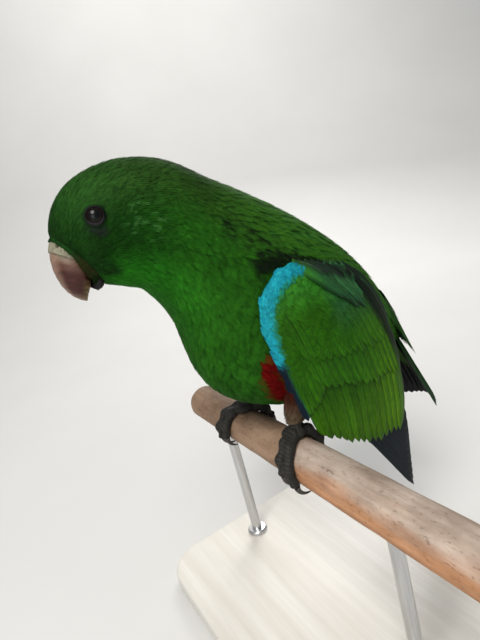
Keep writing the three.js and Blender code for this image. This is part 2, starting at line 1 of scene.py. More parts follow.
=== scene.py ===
"""Looks of a male eclectus parrot on a length of perch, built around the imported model.

Tables of shape are in millimetres from the perch's axis in the bird's middle plane, as the bird
faces -X with its left side at -Y. to_frame() turns such points into metres in the model's frame.
"""
import math
from collections import namedtuple

import bmesh
import bpy
import numpy as np
from mathutils import Matrix, Vector, noise


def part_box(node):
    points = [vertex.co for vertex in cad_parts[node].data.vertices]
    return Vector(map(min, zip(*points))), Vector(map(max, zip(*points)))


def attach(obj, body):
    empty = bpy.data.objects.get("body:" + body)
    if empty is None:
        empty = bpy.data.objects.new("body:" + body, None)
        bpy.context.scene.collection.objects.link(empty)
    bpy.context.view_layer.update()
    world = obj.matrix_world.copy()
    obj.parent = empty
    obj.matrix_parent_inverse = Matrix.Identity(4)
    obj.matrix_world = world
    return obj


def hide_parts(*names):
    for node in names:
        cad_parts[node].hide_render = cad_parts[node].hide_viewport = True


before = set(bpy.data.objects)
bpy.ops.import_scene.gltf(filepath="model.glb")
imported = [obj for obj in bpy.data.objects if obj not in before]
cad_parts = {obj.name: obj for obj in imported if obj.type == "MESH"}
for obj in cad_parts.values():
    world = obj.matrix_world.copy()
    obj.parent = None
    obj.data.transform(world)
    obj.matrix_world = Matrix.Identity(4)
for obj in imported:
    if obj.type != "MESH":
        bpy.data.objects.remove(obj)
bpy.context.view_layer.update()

BODY = "root"
MM = 0.001
TAU = 2 * math.pi
SIDES = {-1: "left", 1: "right"}

# Perch and stand, read from the frame
PERCH_LOW, PERCH_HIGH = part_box("perch")
PERCH_NEAR_END = -150.0
BIRD_ORIGIN = np.array([
    (PERCH_LOW.x + PERCH_HIGH.x) / 2,
    PERCH_LOW.y - PERCH_NEAR_END * MM,
    (PERCH_LOW.z + PERCH_HIGH.z) / 2,
])
PERCH_RADIUS = (PERCH_HIGH.z - PERCH_LOW.z) / 2 / MM
PERCH_LENGTH = (PERCH_HIGH.y - PERCH_LOW.y) / MM

# Head, neck and torso: back line x, z, breast line x, z, and half width, from bill to vent
BODY_STATIONS = np.array([
    [-82.5, 143.5, -66.5, 125, 9.5],
    [-81.5, 150, -65, 118.5, 15.5],
    [-77.2, 158.5, -60, 116, 20.0],
    [-68.2, 167, -55, 113.5, 24.0],
    [-52.0, 172.6, -48, 110, 27.0],
    [-35.6, 172.6, -43.5, 104, 28.8],
    [-20.0, 168, -39, 96, 30.6],
    [-1.5, 156, -35, 84, 33.0],
    [20.0, 142.5, -34, 71, 36.0],
    [45.0, 124.5, -32, 56, 38.5],
    [68.5, 103.5, -25, 42, 39.5],
    [86.0, 82, -8, 29, 38.0],
    [96.0, 62, 22, 18, 33.0],
    [102.0, 47, 58, 18, 24.0],
    [106.0, 36, 86, 24, 15.0],
])
BODY_SQUARENESS = 0.9
LAST_STATION = len(BODY_STATIONS) - 1

# Depth of the skin under the tips of the plumage, by station
SKIN_DEPTH = ([0, 1, 4, 7, 10, 14], [0.7, 0.9, 1.1, 1.6, 2.1, 2.0])

# Legs: x, z and two radii. Shank: x, z and radius. Toes: where they end and how far they drift
# sideways round the perch, and the claw's turn, in degrees and millimetres
FOOT_Y = 27.0
LEG_STATIONS = [[18, 46, 15, 11], [12, 34, 12, 9.5], [6, 26, 8.5, 7.5], [3, 21.5, 6, 5.6]]
TARSUS_STATIONS = [[3, 24, 3.4], [3, 21.2, 3.6], [1.4, 17.5, 3.9], [0, 13.5, 4.8]]
TOES = {
    "front_outer": {"end": 112, "drift": -14, "claw": 42},
    "front_inner": {"end": 98, "drift": -5, "claw": 40},
    "rear_outer": {"end": -104, "drift": -1, "claw": 42},
    "rear_inner": {"end": -76, "drift": 7, "claw": 38},
}
TOE_ROOT_RADIUS = 3.3
TOE_TIP_RADIUS = 2.5
CLAW_ROOT_RADIUS = 1.75
CLAW_TIP_RADIUS = 0.25
PERCH_GAP = 0.3
PERCH_REACH = PERCH_RADIUS + PERCH_GAP

# Eyes
EYE_ON_SKIN = np.array([-65.2, 22.6, 149.8])
EYE_OUTWARDS = np.array([-0.3, 0.93, 0.16])
EYE_DEPTH = 4.2
EYE_APEX = 6.4
EYE_RADIUS = 4.6
LID_RADIUS = 4.25
# Rings of the lids from the ball outwards: radius and height
LID_PROFILE = [
    (3.4, 4.5), (3.5, 5.2), (3.75, 5.4), (4.0, 5.1),
    (4.2, 4.4), (4.4, 3.5), (5.4, 2.2), (7.2, 1.0),
]

# Bill: culmen x, z, cutting edge x, z, and half width, from the base to the tip
UPPER_BILL_STATIONS = np.array([
    [-83.8, 142.0, -70.2, 129.5, 9.2],
    [-85.2, 135.5, -70.8, 124.5, 8.6],
    [-85.2, 129.0, -71.6, 120.4, 7.3],
    [-83.8, 122.8, -73.6, 117.2, 5.6],
    [-81.3, 118.2, -74.8, 115.0, 3.6],
    [-78.2, 115.0, -75.4, 113.6, 1.4],
])
LOWER_BILL_STATIONS = np.array([
    [-69.5, 127.0, -64.0, 122.0, 6.8],
    [-71.0, 122.0, -66.6, 117.8, 5.8],
    [-72.0, 119.4, -69.2, 116.8, 4.0],
])
CERE_STATIONS = np.array([
    [-81.6, 145.0, -69.0, 131.8, 9.8],
    [-83.3, 143.2, -69.9, 130.4, 9.9],
    [-84.8, 139.8, -70.7, 129.2, 9.35],
])
CERE_CENTRE = np.array([-70.0, 0, 137.0])
NOSTRIL_PLACE = np.array([-81.3, 6.4, 141.6])
NOSTRIL_RADIUS = 1.1
NOSTRIL_DEPTH = 1.6

# Feathers that lie forwards over the cere, tabled as the body is, and where they end by angle
MUZZLE_STATIONS = np.array([
    [-81.3, 146.8, -65.0, 119.5, 12.6],
    [-82.7, 145.2, -66.5, 120.0, 11.6],
    [-84.1, 143.2, -68.8, 119.2, 10.3],
    [-85.0, 141.0, -70.8, 118.3, 9.0],
])
MUZZLE_ENDS = ([0, 30, 50, 75, 92, 120, 150, 180], [1.5, 1.35, 1.3, 1.45, 1.9, 2.4, 2.6, 2.5])

# Wings in side view: front edge x, z, rear edge x, z, and how far the core swells outwards
WING_OUTLINE = np.array([
    [6, 104, 20, 105, 2.4],
    [-7, 96, 38, 95, 4.2],
    [-11, 80, 54, 80, 5.4],
    [-8.5, 64, 60, 64, 5.0],
    [-5.2, 50, 66, 50, 3.6],
    [-2.4, 36, 70, 36, 3.0],
    [5, 17, 71, 12, 2.4],
])
WING_SPREAD_BY_HEIGHT = [[-80, 19], [-40, 30], [-10, 38], [20, 43], [50, 45], [80, 44], [115, 38]]
WING_CROWN = 0.0036
WING_AXIS = {"x": 34, "z": 40, "lean": -0.35}
WING_SHOULDER = (10, 96)
RIGHT_WING_LIFT = math.radians(8)

# Tail
TAIL_BASE = np.array([98.0, 0.0, 50.0])
TAIL_SLOPE = math.radians(66)
TAIL_DOWN = np.array([math.cos(TAIL_SLOPE), 0, -math.sin(TAIL_SLOPE)])
TAIL_OUT = np.array([math.sin(TAIL_SLOPE), 0, math.cos(TAIL_SLOPE)])
TAIL_ACROSS = np.array([0.0, 1.0, 0.0])
TAIL_ARCH = 0.02

# Camera: where it stands, and how it looks, as the photograph was taken
CAMERA_PLACE = np.array([-117.5, -235.0, 146.0])
CAMERA_RIGHT = Vector((0.8371, -0.4888, -0.2457))
CAMERA_DOWN = Vector((-0.3370, -0.1070, -0.9354))
FOCAL_PIXELS = 489.0
FRAME_PIXELS = (480, 640)
SENSOR = 36.0

# Colours, linear. Plumage down the body from the bill: stations, and the colours at them
PLUMAGE = {
    "top": ([0, 1.4, 2.5, 4.5, 6.5, 8.5, 14], [
        (0.005, 0.026, 0.003), (0.008, 0.040, 0.005), (0.017, 0.070, 0.010), (0.017, 0.058, 0.008),
        (0.015, 0.048, 0.006), (0.018, 0.084, 0.010), (0.019, 0.086, 0.010)]),
    "side": ([0, 2, 4, 6, 8, 14], [
        (0.003, 0.018, 0.001), (0.004, 0.025, 0.002), (0.006, 0.043, 0.003),
        (0.011, 0.074, 0.004), (0.012, 0.070, 0.004), (0.012, 0.058, 0.004)]),
    "under": ([0, 2, 4, 8, 14], [
        (0.005, 0.034, 0.002), (0.017, 0.160, 0.008), (0.016, 0.150, 0.008),
        (0.017, 0.100, 0.006), (0.010, 0.048, 0.004)]),
}
FLECK_GREEN = (0.075, 0.24, 0.060)
TIP_GREEN = (0.050, 0.17, 0.010)
WING_GREEN = (0.017, 0.088, 0.002)
WING_BRIGHT = (0.027, 0.165, 0.014)
WING_TIP_GREEN = (0.042, 0.130, 0.002)
SCAPULAR_GREY = (0.018, 0.082, 0.028)
YELLOW_EDGE = (0.095, 0.230, 0.002)
SKY_BLUE = (0.009, 0.265, 0.355)
TEAL = (0.012, 0.19, 0.13)
NAVY = (0.005, 0.012, 0.024)
BLACK_FEATHER = (0.003, 0.004, 0.004)
RED_FLANK = (0.100, 0.002, 0.0015)
# Painted shadow of the gap over the wing, mixed with dark feather bases
GAP_SHADE_DARK = (0.003, 0.004, 0.003)
LORES_DARK = (0.010, 0.018, 0.011)
CHEEK_DARK = (0.006, 0.034, 0.004)
UNDER_EYE_DARK = (0.007, 0.036, 0.004)
MUZZLE_GREEN = (0.008, 0.040, 0.006)
MUZZLE_OLIVE = (0.019, 0.024, 0.006)
CHIN_GREEN = (0.005, 0.024, 0.003)
THIGH_TOP = (0.050, 0.008, 0.004)
THIGH_LOW = (0.085, 0.058, 0.038)
TAIL_GREEN = (0.012, 0.060, 0.012)
TAIL_TIP = (0.055, 0.085, 0.012)
UPPER_COVERT_GREEN = (0.014, 0.066, 0.007)
UNDER_COVERT_GREEN = (0.022, 0.070, 0.006)

# Bare parts
EYE_SKIN = (0.005, 0.005, 0.005)
LOWER_LID = (0.030, 0.024, 0.030)
LID_FEATHER = (0.005, 0.020, 0.004)
PUPIL = (0.002, 0.002, 0.002)
IRIS = (0.009, 0.004, 0.003)
IRIS_RIM = (0.003, 0.002, 0.002)
HORN_ROOT = (0.150, 0.082, 0.056)
HORN_MIDDLE = (0.046, 0.011, 0.008)
HORN_EDGE_ROOT = (0.020, 0.014, 0.006)
HORN_EDGE = (0.22, 0.165, 0.070)
HORN_UNDER_CERE = (0.23, 0.20, 0.14)
HORN_TIP = (0.19, 0.14, 0.075)
CULMEN = (0.26, 0.165, 0.120)
LOWER_HORN = (0.006, 0.004, 0.004)
LOWER_HORN_RIM = (0.014, 0.007, 0.006)
CERE = (0.23, 0.215, 0.150)
CERE_GAPE = (0.075, 0.060, 0.035)
NOSTRIL = (0.02, 0.015, 0.010)
FOOT_SKIN = (0.021, 0.020, 0.017)
FOOT_SOLE = (0.046, 0.040, 0.032)
CLAW_ROOT = (0.050, 0.042, 0.036)
CLAW_TIP = (0.020, 0.017, 0.015)
WOOD_SIDE = (0.45, 0.225, 0.110)
# Painted light: the perch's top paler and greyer, as lit from above
WOOD_LIT_TOP = (0.42, 0.335, 0.270)
WOOD_DARKER_PART = (0.260, 0.168, 0.105)


def to_frame(points):
    """Points in millimetres from the perch's axis, as metres in the model's frame."""
    return np.asarray(points, float) * MM + BIRD_ORIGIN


def smoothstep(low, high, value):
    t = np.clip((value - low) / (high - low), 0, 1)
    return t * t * (3 - 2 * t)


def mix(first, second, weight):
    """Colours between first and second, for weights from 0 to 1."""
    weight = np.asarray(weight, float)[..., None]
    return np.asarray(first, float) * (1 - weight) + np.asarray(second, float) * weight


def layered(colours, *layers):
    """Colours with layers of a tint and its weight laid over them in turn."""
    for tint, weight in layers:
        colours = mix(colours, tint, weight)
    return colours


def unit(vectors):
    return vectors / np.maximum(np.linalg.norm(vectors, axis=-1, keepdims=True), 1e-12)


def circle(count):
    """Angles of even steps round a full turn."""
    return np.linspace(0, TAU, count, endpoint=False)


def folded(points):
    """Points with both sides of the bird laid on +Y."""
    return np.abs(points) * [0, 1, 0] + points * [1, 0, 1]


def curve_through(rows, power=0.5, repeat_ends=False):
    """A Catmull-Rom curve through rows, as a function of the row number."""
    rows = np.asarray(rows, float)
    before = rows[0] if repeat_ends else 2 * rows[0] - rows[1]
    after = rows[-1] if repeat_ends else 2 * rows[-1] - rows[-2]
    points = np.vstack([before, rows, after])
    gaps = np.linalg.norm(np.diff(points, axis=0), axis=1) ** power if power else np.ones(len(points) - 1)

    def at(t):
        t = np.asarray(t, float)
        i = np.clip(np.floor(t).astype(int), 0, len(rows) - 2)
        w = (t - i)[..., None]
        p0, p1, p2, p3 = (points[i + k] for k in range(4))
        d0, d1, d2 = (gaps[i + k][..., None] for k in range(3))
        start = ((p1 - p0) / d0 - (p2 - p0) / (d0 + d1) + (p2 - p1) / d1) * d1
        end = ((p2 - p1) / d1 - (p3 - p1) / (d1 + d2) + (p3 - p2) / d2) * d1
        return (p1 + start * w + (3 * (p2 - p1) - 2 * start - end) * w ** 2
                + (2 * (p1 - p2) + start + end) * w ** 3)

    return at


def shell_over(table):
    """Points over a table of stations: station number, angle from the back towards +Y, height."""
    back_line, breast_line = curve_through(table[:, 0:2]), curve_through(table[:, 2:4])
    width_line = curve_through(table[:, 4:5])

    def at(station, angle, height=0.0):
        back, breast = back_line(station), breast_line(station)
        middle = (back + breast) / 2
        half = (back - breast) / 2
        reach = np.linalg.norm(half, axis=-1)
        half = half * ((reach + height) / np.maximum(reach, 1e-6))[..., None]
        width = width_line(station)[..., 0] + height
        across = np.sign(np.sin(angle)) * np.abs(np.sin(angle)) ** BODY_SQUARENESS
        flat = middle + half * np.cos(angle)[..., None]
        return np.stack([flat[..., 0], width * across, flat[..., 1]], -1)

    return at


body_point = shell_over(BODY_STATIONS)
muzzle_point = shell_over(MUZZLE_STATIONS)
SHELL_STEP = 0.02


def shell_scales(shell, station, angle):
    """Millimetres per station and per radian on a shell."""
    along = shell(station + SHELL_STEP, angle) - shell(station - SHELL_STEP, angle)
    around = shell(station, angle + SHELL_STEP) - shell(station, angle - SHELL_STEP)
    return [np.linalg.norm(way, axis=-1) / (2 * SHELL_STEP) for way in (along, around)]


def skin_depth(station):
    return np.interp(station, *SKIN_DEPTH)


def towards_back(angle):
    """1 on the back, falling to 0 under the breast."""
    return np.cos(angle) * 0.5 + 0.5


WING_SPREADS = curve_through(WING_SPREAD_BY_HEIGHT, power=0, repeat_ends=True)(
    np.linspace(0, len(WING_SPREAD_BY_HEIGHT) - 1, 400))


def wing_depth(x, z):
    """Distance of the wing's middle surface from the bird's middle plane."""
    spread = np.interp(z, WING_SPREADS[:, 0], WING_SPREADS[:, 1])
    off_axis = x - (WING_AXIS["x"] + (z - WING_AXIS["z"]) * WING_AXIS["lean"])
    return spread - WING_CROWN * off_axis ** 2


def wing_point(x, z, height):
    return np.stack([x, -(wing_depth(x, z) + height), z], -1)


def turned_at_shoulder(x, z, angle):
    """Side-view places turned about the wing's shoulder."""
    x, z = x - WING_SHOULDER[0], z - WING_SHOULDER[1]
    cos, sin = math.cos(angle), math.sin(angle)
    return x * cos - z * sin + WING_SHOULDER[0], x * sin + z * cos + WING_SHOULDER[1]


def on_side(points, side):
    """The left wing's points, or those of the right wing, which is folded a little higher."""
    if side < 0:
        return points
    x, z = turned_at_shoulder(points[..., 0], points[..., 2], RIGHT_WING_LIFT)
    return np.stack([x, -points[..., 1], z], -1)


def wing_edges(z):
    """Front and rear edges and swell of the wing at a height, in side view."""
    rows = WING_OUTLINE[::-1]
    heights = (rows[:, 1] + rows[:, 3]) / 2
    return tuple(np.interp(z, heights, rows[:, k]) for k in (0, 2, 4))


def wing_swell(x, z):
    """Height of the wing's outer surface over its middle surface."""
    front, rear, swell = wing_edges(z)
    u = np.clip((x - front) / (rear - front), 0.0, 1.0)
    return swell * np.sin(np.pi * np.clip(u, 0.02, 0.98)) ** 0.6


def tail_point(u, v, height=0.0):
    """A point of the tail: u across it, v down its length, height out of its back."""
    u, v = np.asarray(u), np.asarray(v)
    return (TAIL_BASE + v[..., None] * TAIL_DOWN
            + (height - TAIL_ARCH * u ** 2)[..., None] * TAIL_OUT + u[..., None] * TAIL_ACROSS)


def field_noise(points, size, seed=0):
    """Smooth noise from -1 to 1 at points, with bumps of a given size."""
    points = np.asarray(points)
    shift = Vector((17.3 * seed, 5.1 * seed, 9.7 * seed))
    values = [noise.noise(Vector(p) / size + shift) for p in points.reshape(-1, 3)]
    return np.array(values).reshape(points.shape[:-1])


def line_weight(points, line, reach):
    """1 on a line through given points, falling to 0 at its reach. Both sides of the bird count."""
    probe = folded(points)
    nearest = np.full(probe.shape[:-1], 1e9)
    for a, b in zip(line[:-1], line[1:]):
        a, b = np.asarray(a, float), np.asarray(b, float)
        t = np.clip(((probe - a) @ (b - a)) / max((b - a) @ (b - a), 1e-9), 0, 1)
        nearest = np.minimum(nearest, np.linalg.norm(probe - (a + t[..., None] * (b - a)), axis=-1))
    return 1 - smoothstep(0.45 * reach, reach, nearest)


# Local colours of the body, a red flank and darker patches at the lores, the cheek and under the eye: line
# of their middle, reach and colour
BODY_MARKS = [
    ([(-6, 33, 59), (-7, 30, 51), (-4, 26, 42), (1, 24, 34)], 8.0, RED_FLANK),
    ([(-71, 22, 145), (-67, 23, 143.5)], 5.0, LORES_DARK),
    ([(-72, 15, 130), (-66, 18, 124)], 7.0, CHEEK_DARK),
    ([(-76, 17, 143), (-72, 19, 138)], 7.0, UNDER_EYE_DARK),
]
# Gap over the wing: painted shadow in the gap, with dark feather bases showing. Line of its middle, reach
# and share of dark streaks
GAP_SHADE_MARKS = [
    ([(-9, 33, 132), (-2, 33, 125), (8, 34, 118)], 9.0, 0.5),
    ([(0, 34, 110), (9, 34.5, 109)], 8.0, 0.97),
    ([(-1, 34, 112), (12, 34.5, 110.5), (24, 34, 105), (40, 34, 96), (56, 31, 87), (74, 30, 68)],
     6.5, 0.85),
]
LIGHT_STREAK = 0.2
EAR_COVERTS = np.array([-47.0, 27.0, 143.5])
EAR_REACH = 12.0


def gap_shade_streaks(points, luck, u=1.0):
    """Weight of the gap's streaks of painted shadow and dark bases on feathers at points, each with its own
    luck from 0 to 1.
    """
    weight = np.zeros(points.shape[:-1])
    for line, reach, share in GAP_SHADE_MARKS:
        dark = share + (1 - share) * smoothstep(-0.2, 0.3, u)
        streak = np.where(luck < share, dark, LIGHT_STREAK)
        weight = np.maximum(weight, line_weight(points, line, reach) * streak)
    return weight


def colour_along(zone, station):
    places, colours = PLUMAGE[zone]
    return np.stack([np.interp(station, places, channel) for channel in zip(*colours)], -1)


def plumage(points, station, angle):
    """Colour of the body's plumage at points of it."""
    back = towards_back(angle)
    colour = layered(colour_along("under", station),
                     (colour_along("side", station), smoothstep(0.12, 0.42, back)),
                     (colour_along("top", station), smoothstep(0.55, 0.85, back)))
    colour = colour * (1 + 0.20 * field_noise(points, 15.0, 1))[..., None]
    return layered(colour, *((tint, line_weight(points, line, reach)) for line, reach, tint in BODY_MARKS))


# Blue of the wing's front edge: side-view line along it, and how far it reaches from that line
BLUE_LINE = [(22, 103), (14, 105), (6, 104), (-4, 98.5), (-9.5, 89), (-11.5, 80), (-9.8, 68), (-6.8, 55),
             (-3, 40), (5, 17)]
BLUE_REACH = ([0, 1, 2, 3, 4, 5, 6, 6.6, 7, 9], [3.5, 5.5, 6.6, 6.4, 6.0, 5.6, 4.8, 3.8, 3.0, 2.4])


def side_line(x, z, line):
    """Distance from a line in side view, and the place along it as a row number."""
    nearest = np.full(np.shape(x), 1e9)
    place = np.zeros(np.shape(x))
    for k, (a, b) in enumerate(zip(line[:-1], line[1:])):
        dx, dz = b[0] - a[0], b[1] - a[1]
        t = np.clip(((x - a[0]) * dx + (z - a[1]) * dz) / (dx * dx + dz * dz), 0, 1)
        away = np.hypot(x - a[0] - t * dx, z - a[1] - t * dz)
        place = np.where(away < nearest, k + t, place)
        nearest = np.minimum(nearest, away)
    return nearest, place


def wing_colour(x, z):
    """Colour of the wing's coverts in side view."""
    colour = mix(WING_BRIGHT, WING_GREEN, smoothstep(96, 80, z))
    colour = mix(colour, WING_TIP_GREEN, 0.8 * smoothstep(50, 0, z) + 0.3 * smoothstep(30, 60, x))
    colour = colour * (1 + 0.2 * field_noise(np.stack([x, np.zeros_like(x), z], -1), 11.0, 3))[..., None]
    rear = wing_edges(z)[1]
    away, place = side_line(x, z, BLUE_LINE)
    reach = np.interp(place, *BLUE_REACH)
    inner = smoothstep(1.15 * reach, 0.80 * reach, away)
    outer = smoothstep(0.85 * reach, 0.60 * reach, away)
    return layered(colour,
                   (SCAPULAR_GREY, 0.8 * smoothstep(18, 32, x) * smoothstep(60, 82, z)),
                   # Black along the rear edge: partly the dark inner webs, partly painted shadow of the gap
                   # between wing and back
                   (BLACK_FEATHER, 0.9 * smoothstep(rear - 7, rear - 2, x) * smoothstep(20, 50, z)),
                   (TEAL, inner),
                   (SKY_BLUE, outer),
                   (NAVY, inner * smoothstep(6.35, 6.9, place)))


def set_tint(piece, colours):
    layer = piece.data.color_attributes.new("tint", "FLOAT_COLOR", "POINT")
    rgba = np.concatenate([colours, np.ones((len(colours), 1))], 1)
    layer.data.foreach_set("color", rgba.astype(np.float32).ravel())


def add_mesh(name, points, faces, colours=None, maps=None, smooth=True):
    """A mesh object from points in metres and groups of faces of three or four corners each."""
    faces = [np.asarray(group, np.int32) for group in faces]
    loops = np.concatenate([group.ravel() for group in faces])
    sizes = np.concatenate([np.full(len(group), group.shape[1], np.int32) for group in faces])
    mesh = bpy.data.meshes.new(name)
    mesh.vertices.add(len(points))
    mesh.vertices.foreach_set("co", np.asarray(points, np.float32).ravel())
    mesh.loops.add(len(loops))
    mesh.loops.foreach_set("vertex_index", loops)
    mesh.polygons.add(len(sizes))
    mesh.polygons.foreach_set("loop_start", np.concatenate([[0], np.cumsum(sizes)[:-1]]).astype(np.int32))
    mesh.polygons.foreach_set("use_smooth", np.full(len(sizes), smooth))
    mesh.update(calc_edges=True)
    piece = bpy.data.objects.new(name, mesh)
    bpy.context.scene.collection.objects.link(piece)
    if colours is not None:
        set_tint(piece, colours)
    for map_name, place in (maps or {}).items():
        layer = mesh.uv_layers.new(name=map_name)
        layer.data.foreach_set("uv", np.asarray(place, np.float32)[loops].ravel())
    return piece


def closed_mesh(name, points, faces, colours=None, smooth=True):
    """A mesh object of closed bodies, with its faces turned outwards."""
    piece = add_mesh(name, points, faces, smooth=smooth)
    work = bmesh.new()
    work.from_mesh(piece.data)
    bmesh.ops.recalc_face_normals(work, faces=work.faces)
    work.to_mesh(piece.data)
    work.free()
    if colours is not None:
        set_tint(piece, colours)
    return piece


def finish_piece(piece, material, slot, *nodes):
    """Gives a piece its materials, sets it on the body and lets it stand for CAD nodes. Its slot is not
    used.
    """
    piece.data.materials.clear()
    for each in material if isinstance(material, tuple) else (material,):
        piece.data.materials.append(each)
    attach(piece, BODY)
    if nodes:
        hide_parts(*nodes)


def grid_faces(rows, columns, closed):
    """Quads of a grid of points, row by row, closed round its columns if asked."""
    r, c = np.meshgrid(np.arange(rows - 1), np.arange(columns if closed else columns - 1), indexing="ij")
    a, b = r * columns + c, r * columns + (c + 1) % columns
    return np.stack([a, b, b + columns, a + columns], -1).reshape(-1, 4)


def closed_loft(rings):
    """Points and faces of a closed body through rings, with a fan at each end."""
    rings = np.asarray(rings, float)
    rows, columns = rings.shape[:2]
    points = np.vstack([rings.reshape(-1, 3), rings[0].mean(0), rings[-1].mean(0)])
    turn = np.arange(columns)
    after = (turn + 1) % columns
    last_row = (rows - 1) * columns
    fans = np.concatenate([
        np.stack([np.full(columns, rows * columns), after, turn], 1),
        np.stack([np.full(columns, rows * columns + 1), turn + last_row, after + last_row], 1),
    ])
    return points, [grid_faces(rows, columns, True), fans]


def joined(parts):
    """Points and faces of several bodies as one."""
    starts = np.cumsum([0] + [len(points) for points, _ in parts])
    faces = [group + start for start, (_, groups) in zip(starts, parts) for group in groups]
    return np.vstack([points for points, _ in parts]), faces


def level_ring(x, y, z, radius_x, radius_y, count):
    """One level ring of points round a place."""
    turn = circle(count)
    return np.stack([x + radius_x * np.cos(turn), y + radius_y * np.sin(turn), np.full(count, z)], 1)


def joined_remesh(name, parts, voxel, smoothing):
    """One skin round several closed bodies: their union in small voxels, smoothed."""
    points, faces = joined(parts)
    piece = closed_mesh(name, to_frame(points), faces)
    remesh = piece.modifiers.new("remesh", "REMESH")
    remesh.mode = "VOXEL"
    remesh.voxel_size = voxel * MM
    relax = piece.modifiers.new("relax", "SMOOTH")
    relax.factor = 0.5
    relax.iterations = smoothing
    bpy.context.view_layer.update()
    evaluated = piece.evaluated_get(bpy.context.evaluated_depsgraph_get())
    mesh = bpy.data.meshes.new_from_object(evaluated)
    piece.modifiers.clear()
    piece.data = mesh
    mesh.polygons.foreach_set("use_smooth", np.ones(len(mesh.polygons), bool))
    return piece


def mesh_points(piece):
    """A piece's points in millimetres from the perch's axis."""
    co = np.zeros(len(piece.data.vertices) * 3, np.float32)
    piece.data.vertices.foreach_get("co", co)
    return (co.reshape(-1, 3).astype(float) - BIRD_ORIGIN) / MM


SHADER_SOCKETS = {
    "roughness": "Roughness", "specular": "Specular IOR Level", "metallic": "Metallic",
    "coat": "Coat Weight", "coat_roughness": "Coat Roughness",
}


class Nodes:
    """A short way to lay out a material's nodes."""

    def __init__(self, name):
        self.material = bpy.data.materials.new(name)
        self.material.use_nodes = True
        self.tree = self.material.node_tree
        self.shader = self.tree.nodes["Principled BSDF"]

    def add(self, kind, **settings):
        node = self.tree.nodes.new(kind)
        for key, value in settings.items():
            setattr(node, key, value)
        return node

    def link(self, output, target):
        self.tree.links.new(output, target)

    def behind(self, source, kind, output=0, values=None, **settings):
        """Output of one more node behind a source, with values on its other sockets."""
        node = self.add(kind, **settings)
        self.link(source, node.inputs[0])
        for socket, value in (values or {}).items():
            node.inputs[socket].default_value = value
        return node.outputs[output]

    def noise(self, vector, scale, detail=4.0, roughness=0.55, stretch=None):
        if stretch is not None:
            vector = self.behind(vector, "ShaderNodeMapping", values={"Scale": stretch})
        values = {"Scale": scale, "Detail": detail, "Roughness": roughness}
        return self.behind(vector, "ShaderNodeTexNoise", "Fac", values)

    def ramp(self, value, first, last):
        """Colours between two stops of a place and a colour, which may be a single grey value."""
        node = self.add("ShaderNodeValToRGB")
        for element, (place, colour) in zip(node.color_ramp.elements, (first, last)):
            element.position = place
            element.color = (*(colour if isinstance(colour, tuple) else 3 * (colour,)), 1.0)
        self.link(value, node.inputs["Fac"])
        return node.outputs["Color"]

    def multiply(self, colour, factor, share=1.0):
        node = self.add("ShaderNodeMix", data_type="RGBA", blend_type="MULTIPLY")
        node.inputs["Factor"].default_value = share
        self.link(colour, node.inputs[6])
        self.link(factor, node.inputs[7])
        return node.outputs[2]

    def mix(self, share, first, second):
        node = self.add("ShaderNodeMix", data_type="RGBA")
        self.link(share, node.inputs["Factor"])
        self.link(first, node.inputs[6])
        self.link(second, node.inputs[7])
        return node.outputs[2]

    def bump(self, height, strength, distance, under=None):
        """Bump of a height, its distance in millimetres, over that of the layers under it."""
        node = self.add("ShaderNodeBump")
        node.inputs["Strength"].default_value = strength
        node.inputs["Distance"].default_value = distance * MM
        self.link(height, node.inputs["Height"])
        if under is not None:
            self.link(under, node.inputs["Normal"])
        return node.outputs["Normal"]

    def finish(self, colour, *bumps, **values):
        """The material, with its colour, its layers of bump and the shader's own values."""
        self.link(colour, self.shader.inputs["Base Color"])
        normal = None
        for layer in bumps:
            normal = self.bump(*layer, under=normal)
        if normal is not None:
            self.link(normal, self.shader.inputs["Normal"])
        for key, value in values.items():
            self.shader.inputs[SHADER_SOCKETS[key]].default_value = value
        return self.material

    @property
    def place(self):
        return self.add("ShaderNodeTexCoord").outputs["Object"]

    @property
    def tint(self):
        return self.add("ShaderNodeAttribute", attribute_name="tint").outputs["Color"]


# Barbs: streaks across and along a vane, and the bump that they make
SMALL_BARBS = (9.0, 0.6)
LONG_BARBS = (0.6, 6.0)
BARB_BUMP = (0.35, 0.12)
MOTTLE_STRETCH = (1.1, 0.22, 1.0)


def barb_streaks(nodes, vane_map, barbs):
    return nodes.noise(vane_map, 1.0, 3.0, 0.6, stretch=(*barbs, 1.0))


def feather_material(name, barbs, mottle, roughness, specular):
    """Vanes tinted by their own points, with fine barbs and mottling along them."""
    nodes = Nodes(name)
    vane_map = nodes.add("ShaderNodeUVMap", uv_map="Vane").outputs["UV"]
    streaks = barb_streaks(nodes, vane_map, barbs)
    shade = nodes.ramp(streaks, (0.30, 0.60), (0.70, 1.35))
    broad = nodes.noise(vane_map, 1.0, 4.0, 0.6, stretch=MOTTLE_STRETCH)
    patch = nodes.ramp(broad, (0.34, (0.62, 0.76, 0.9)), (0.66, (1.45, 1.25, 0.9)))
    colour = nodes.multiply(nodes.multiply(nodes.tint, shade), patch, mottle)
    return nodes.finish(colour, (streaks, *BARB_BUMP), roughness=roughness, specular=specular)


def dark_vane_material():
    """Dull black undersides of flight and tail feathers."""
    nodes = Nodes("vane_undersides")
    vane_map = nodes.add("ShaderNodeUVMap", uv_map="Vane").outputs["UV"]
    streaks = barb_streaks(nodes, vane_map, LONG_BARBS)
    shade = nodes.ramp(streaks, (0.3, (0.004, 0.004, 0.005)), (0.7, (0.010, 0.011, 0.014)))
    return nodes.finish(shade, (streaks, *BARB_BUMP), roughness=0.6, specular=0.15)


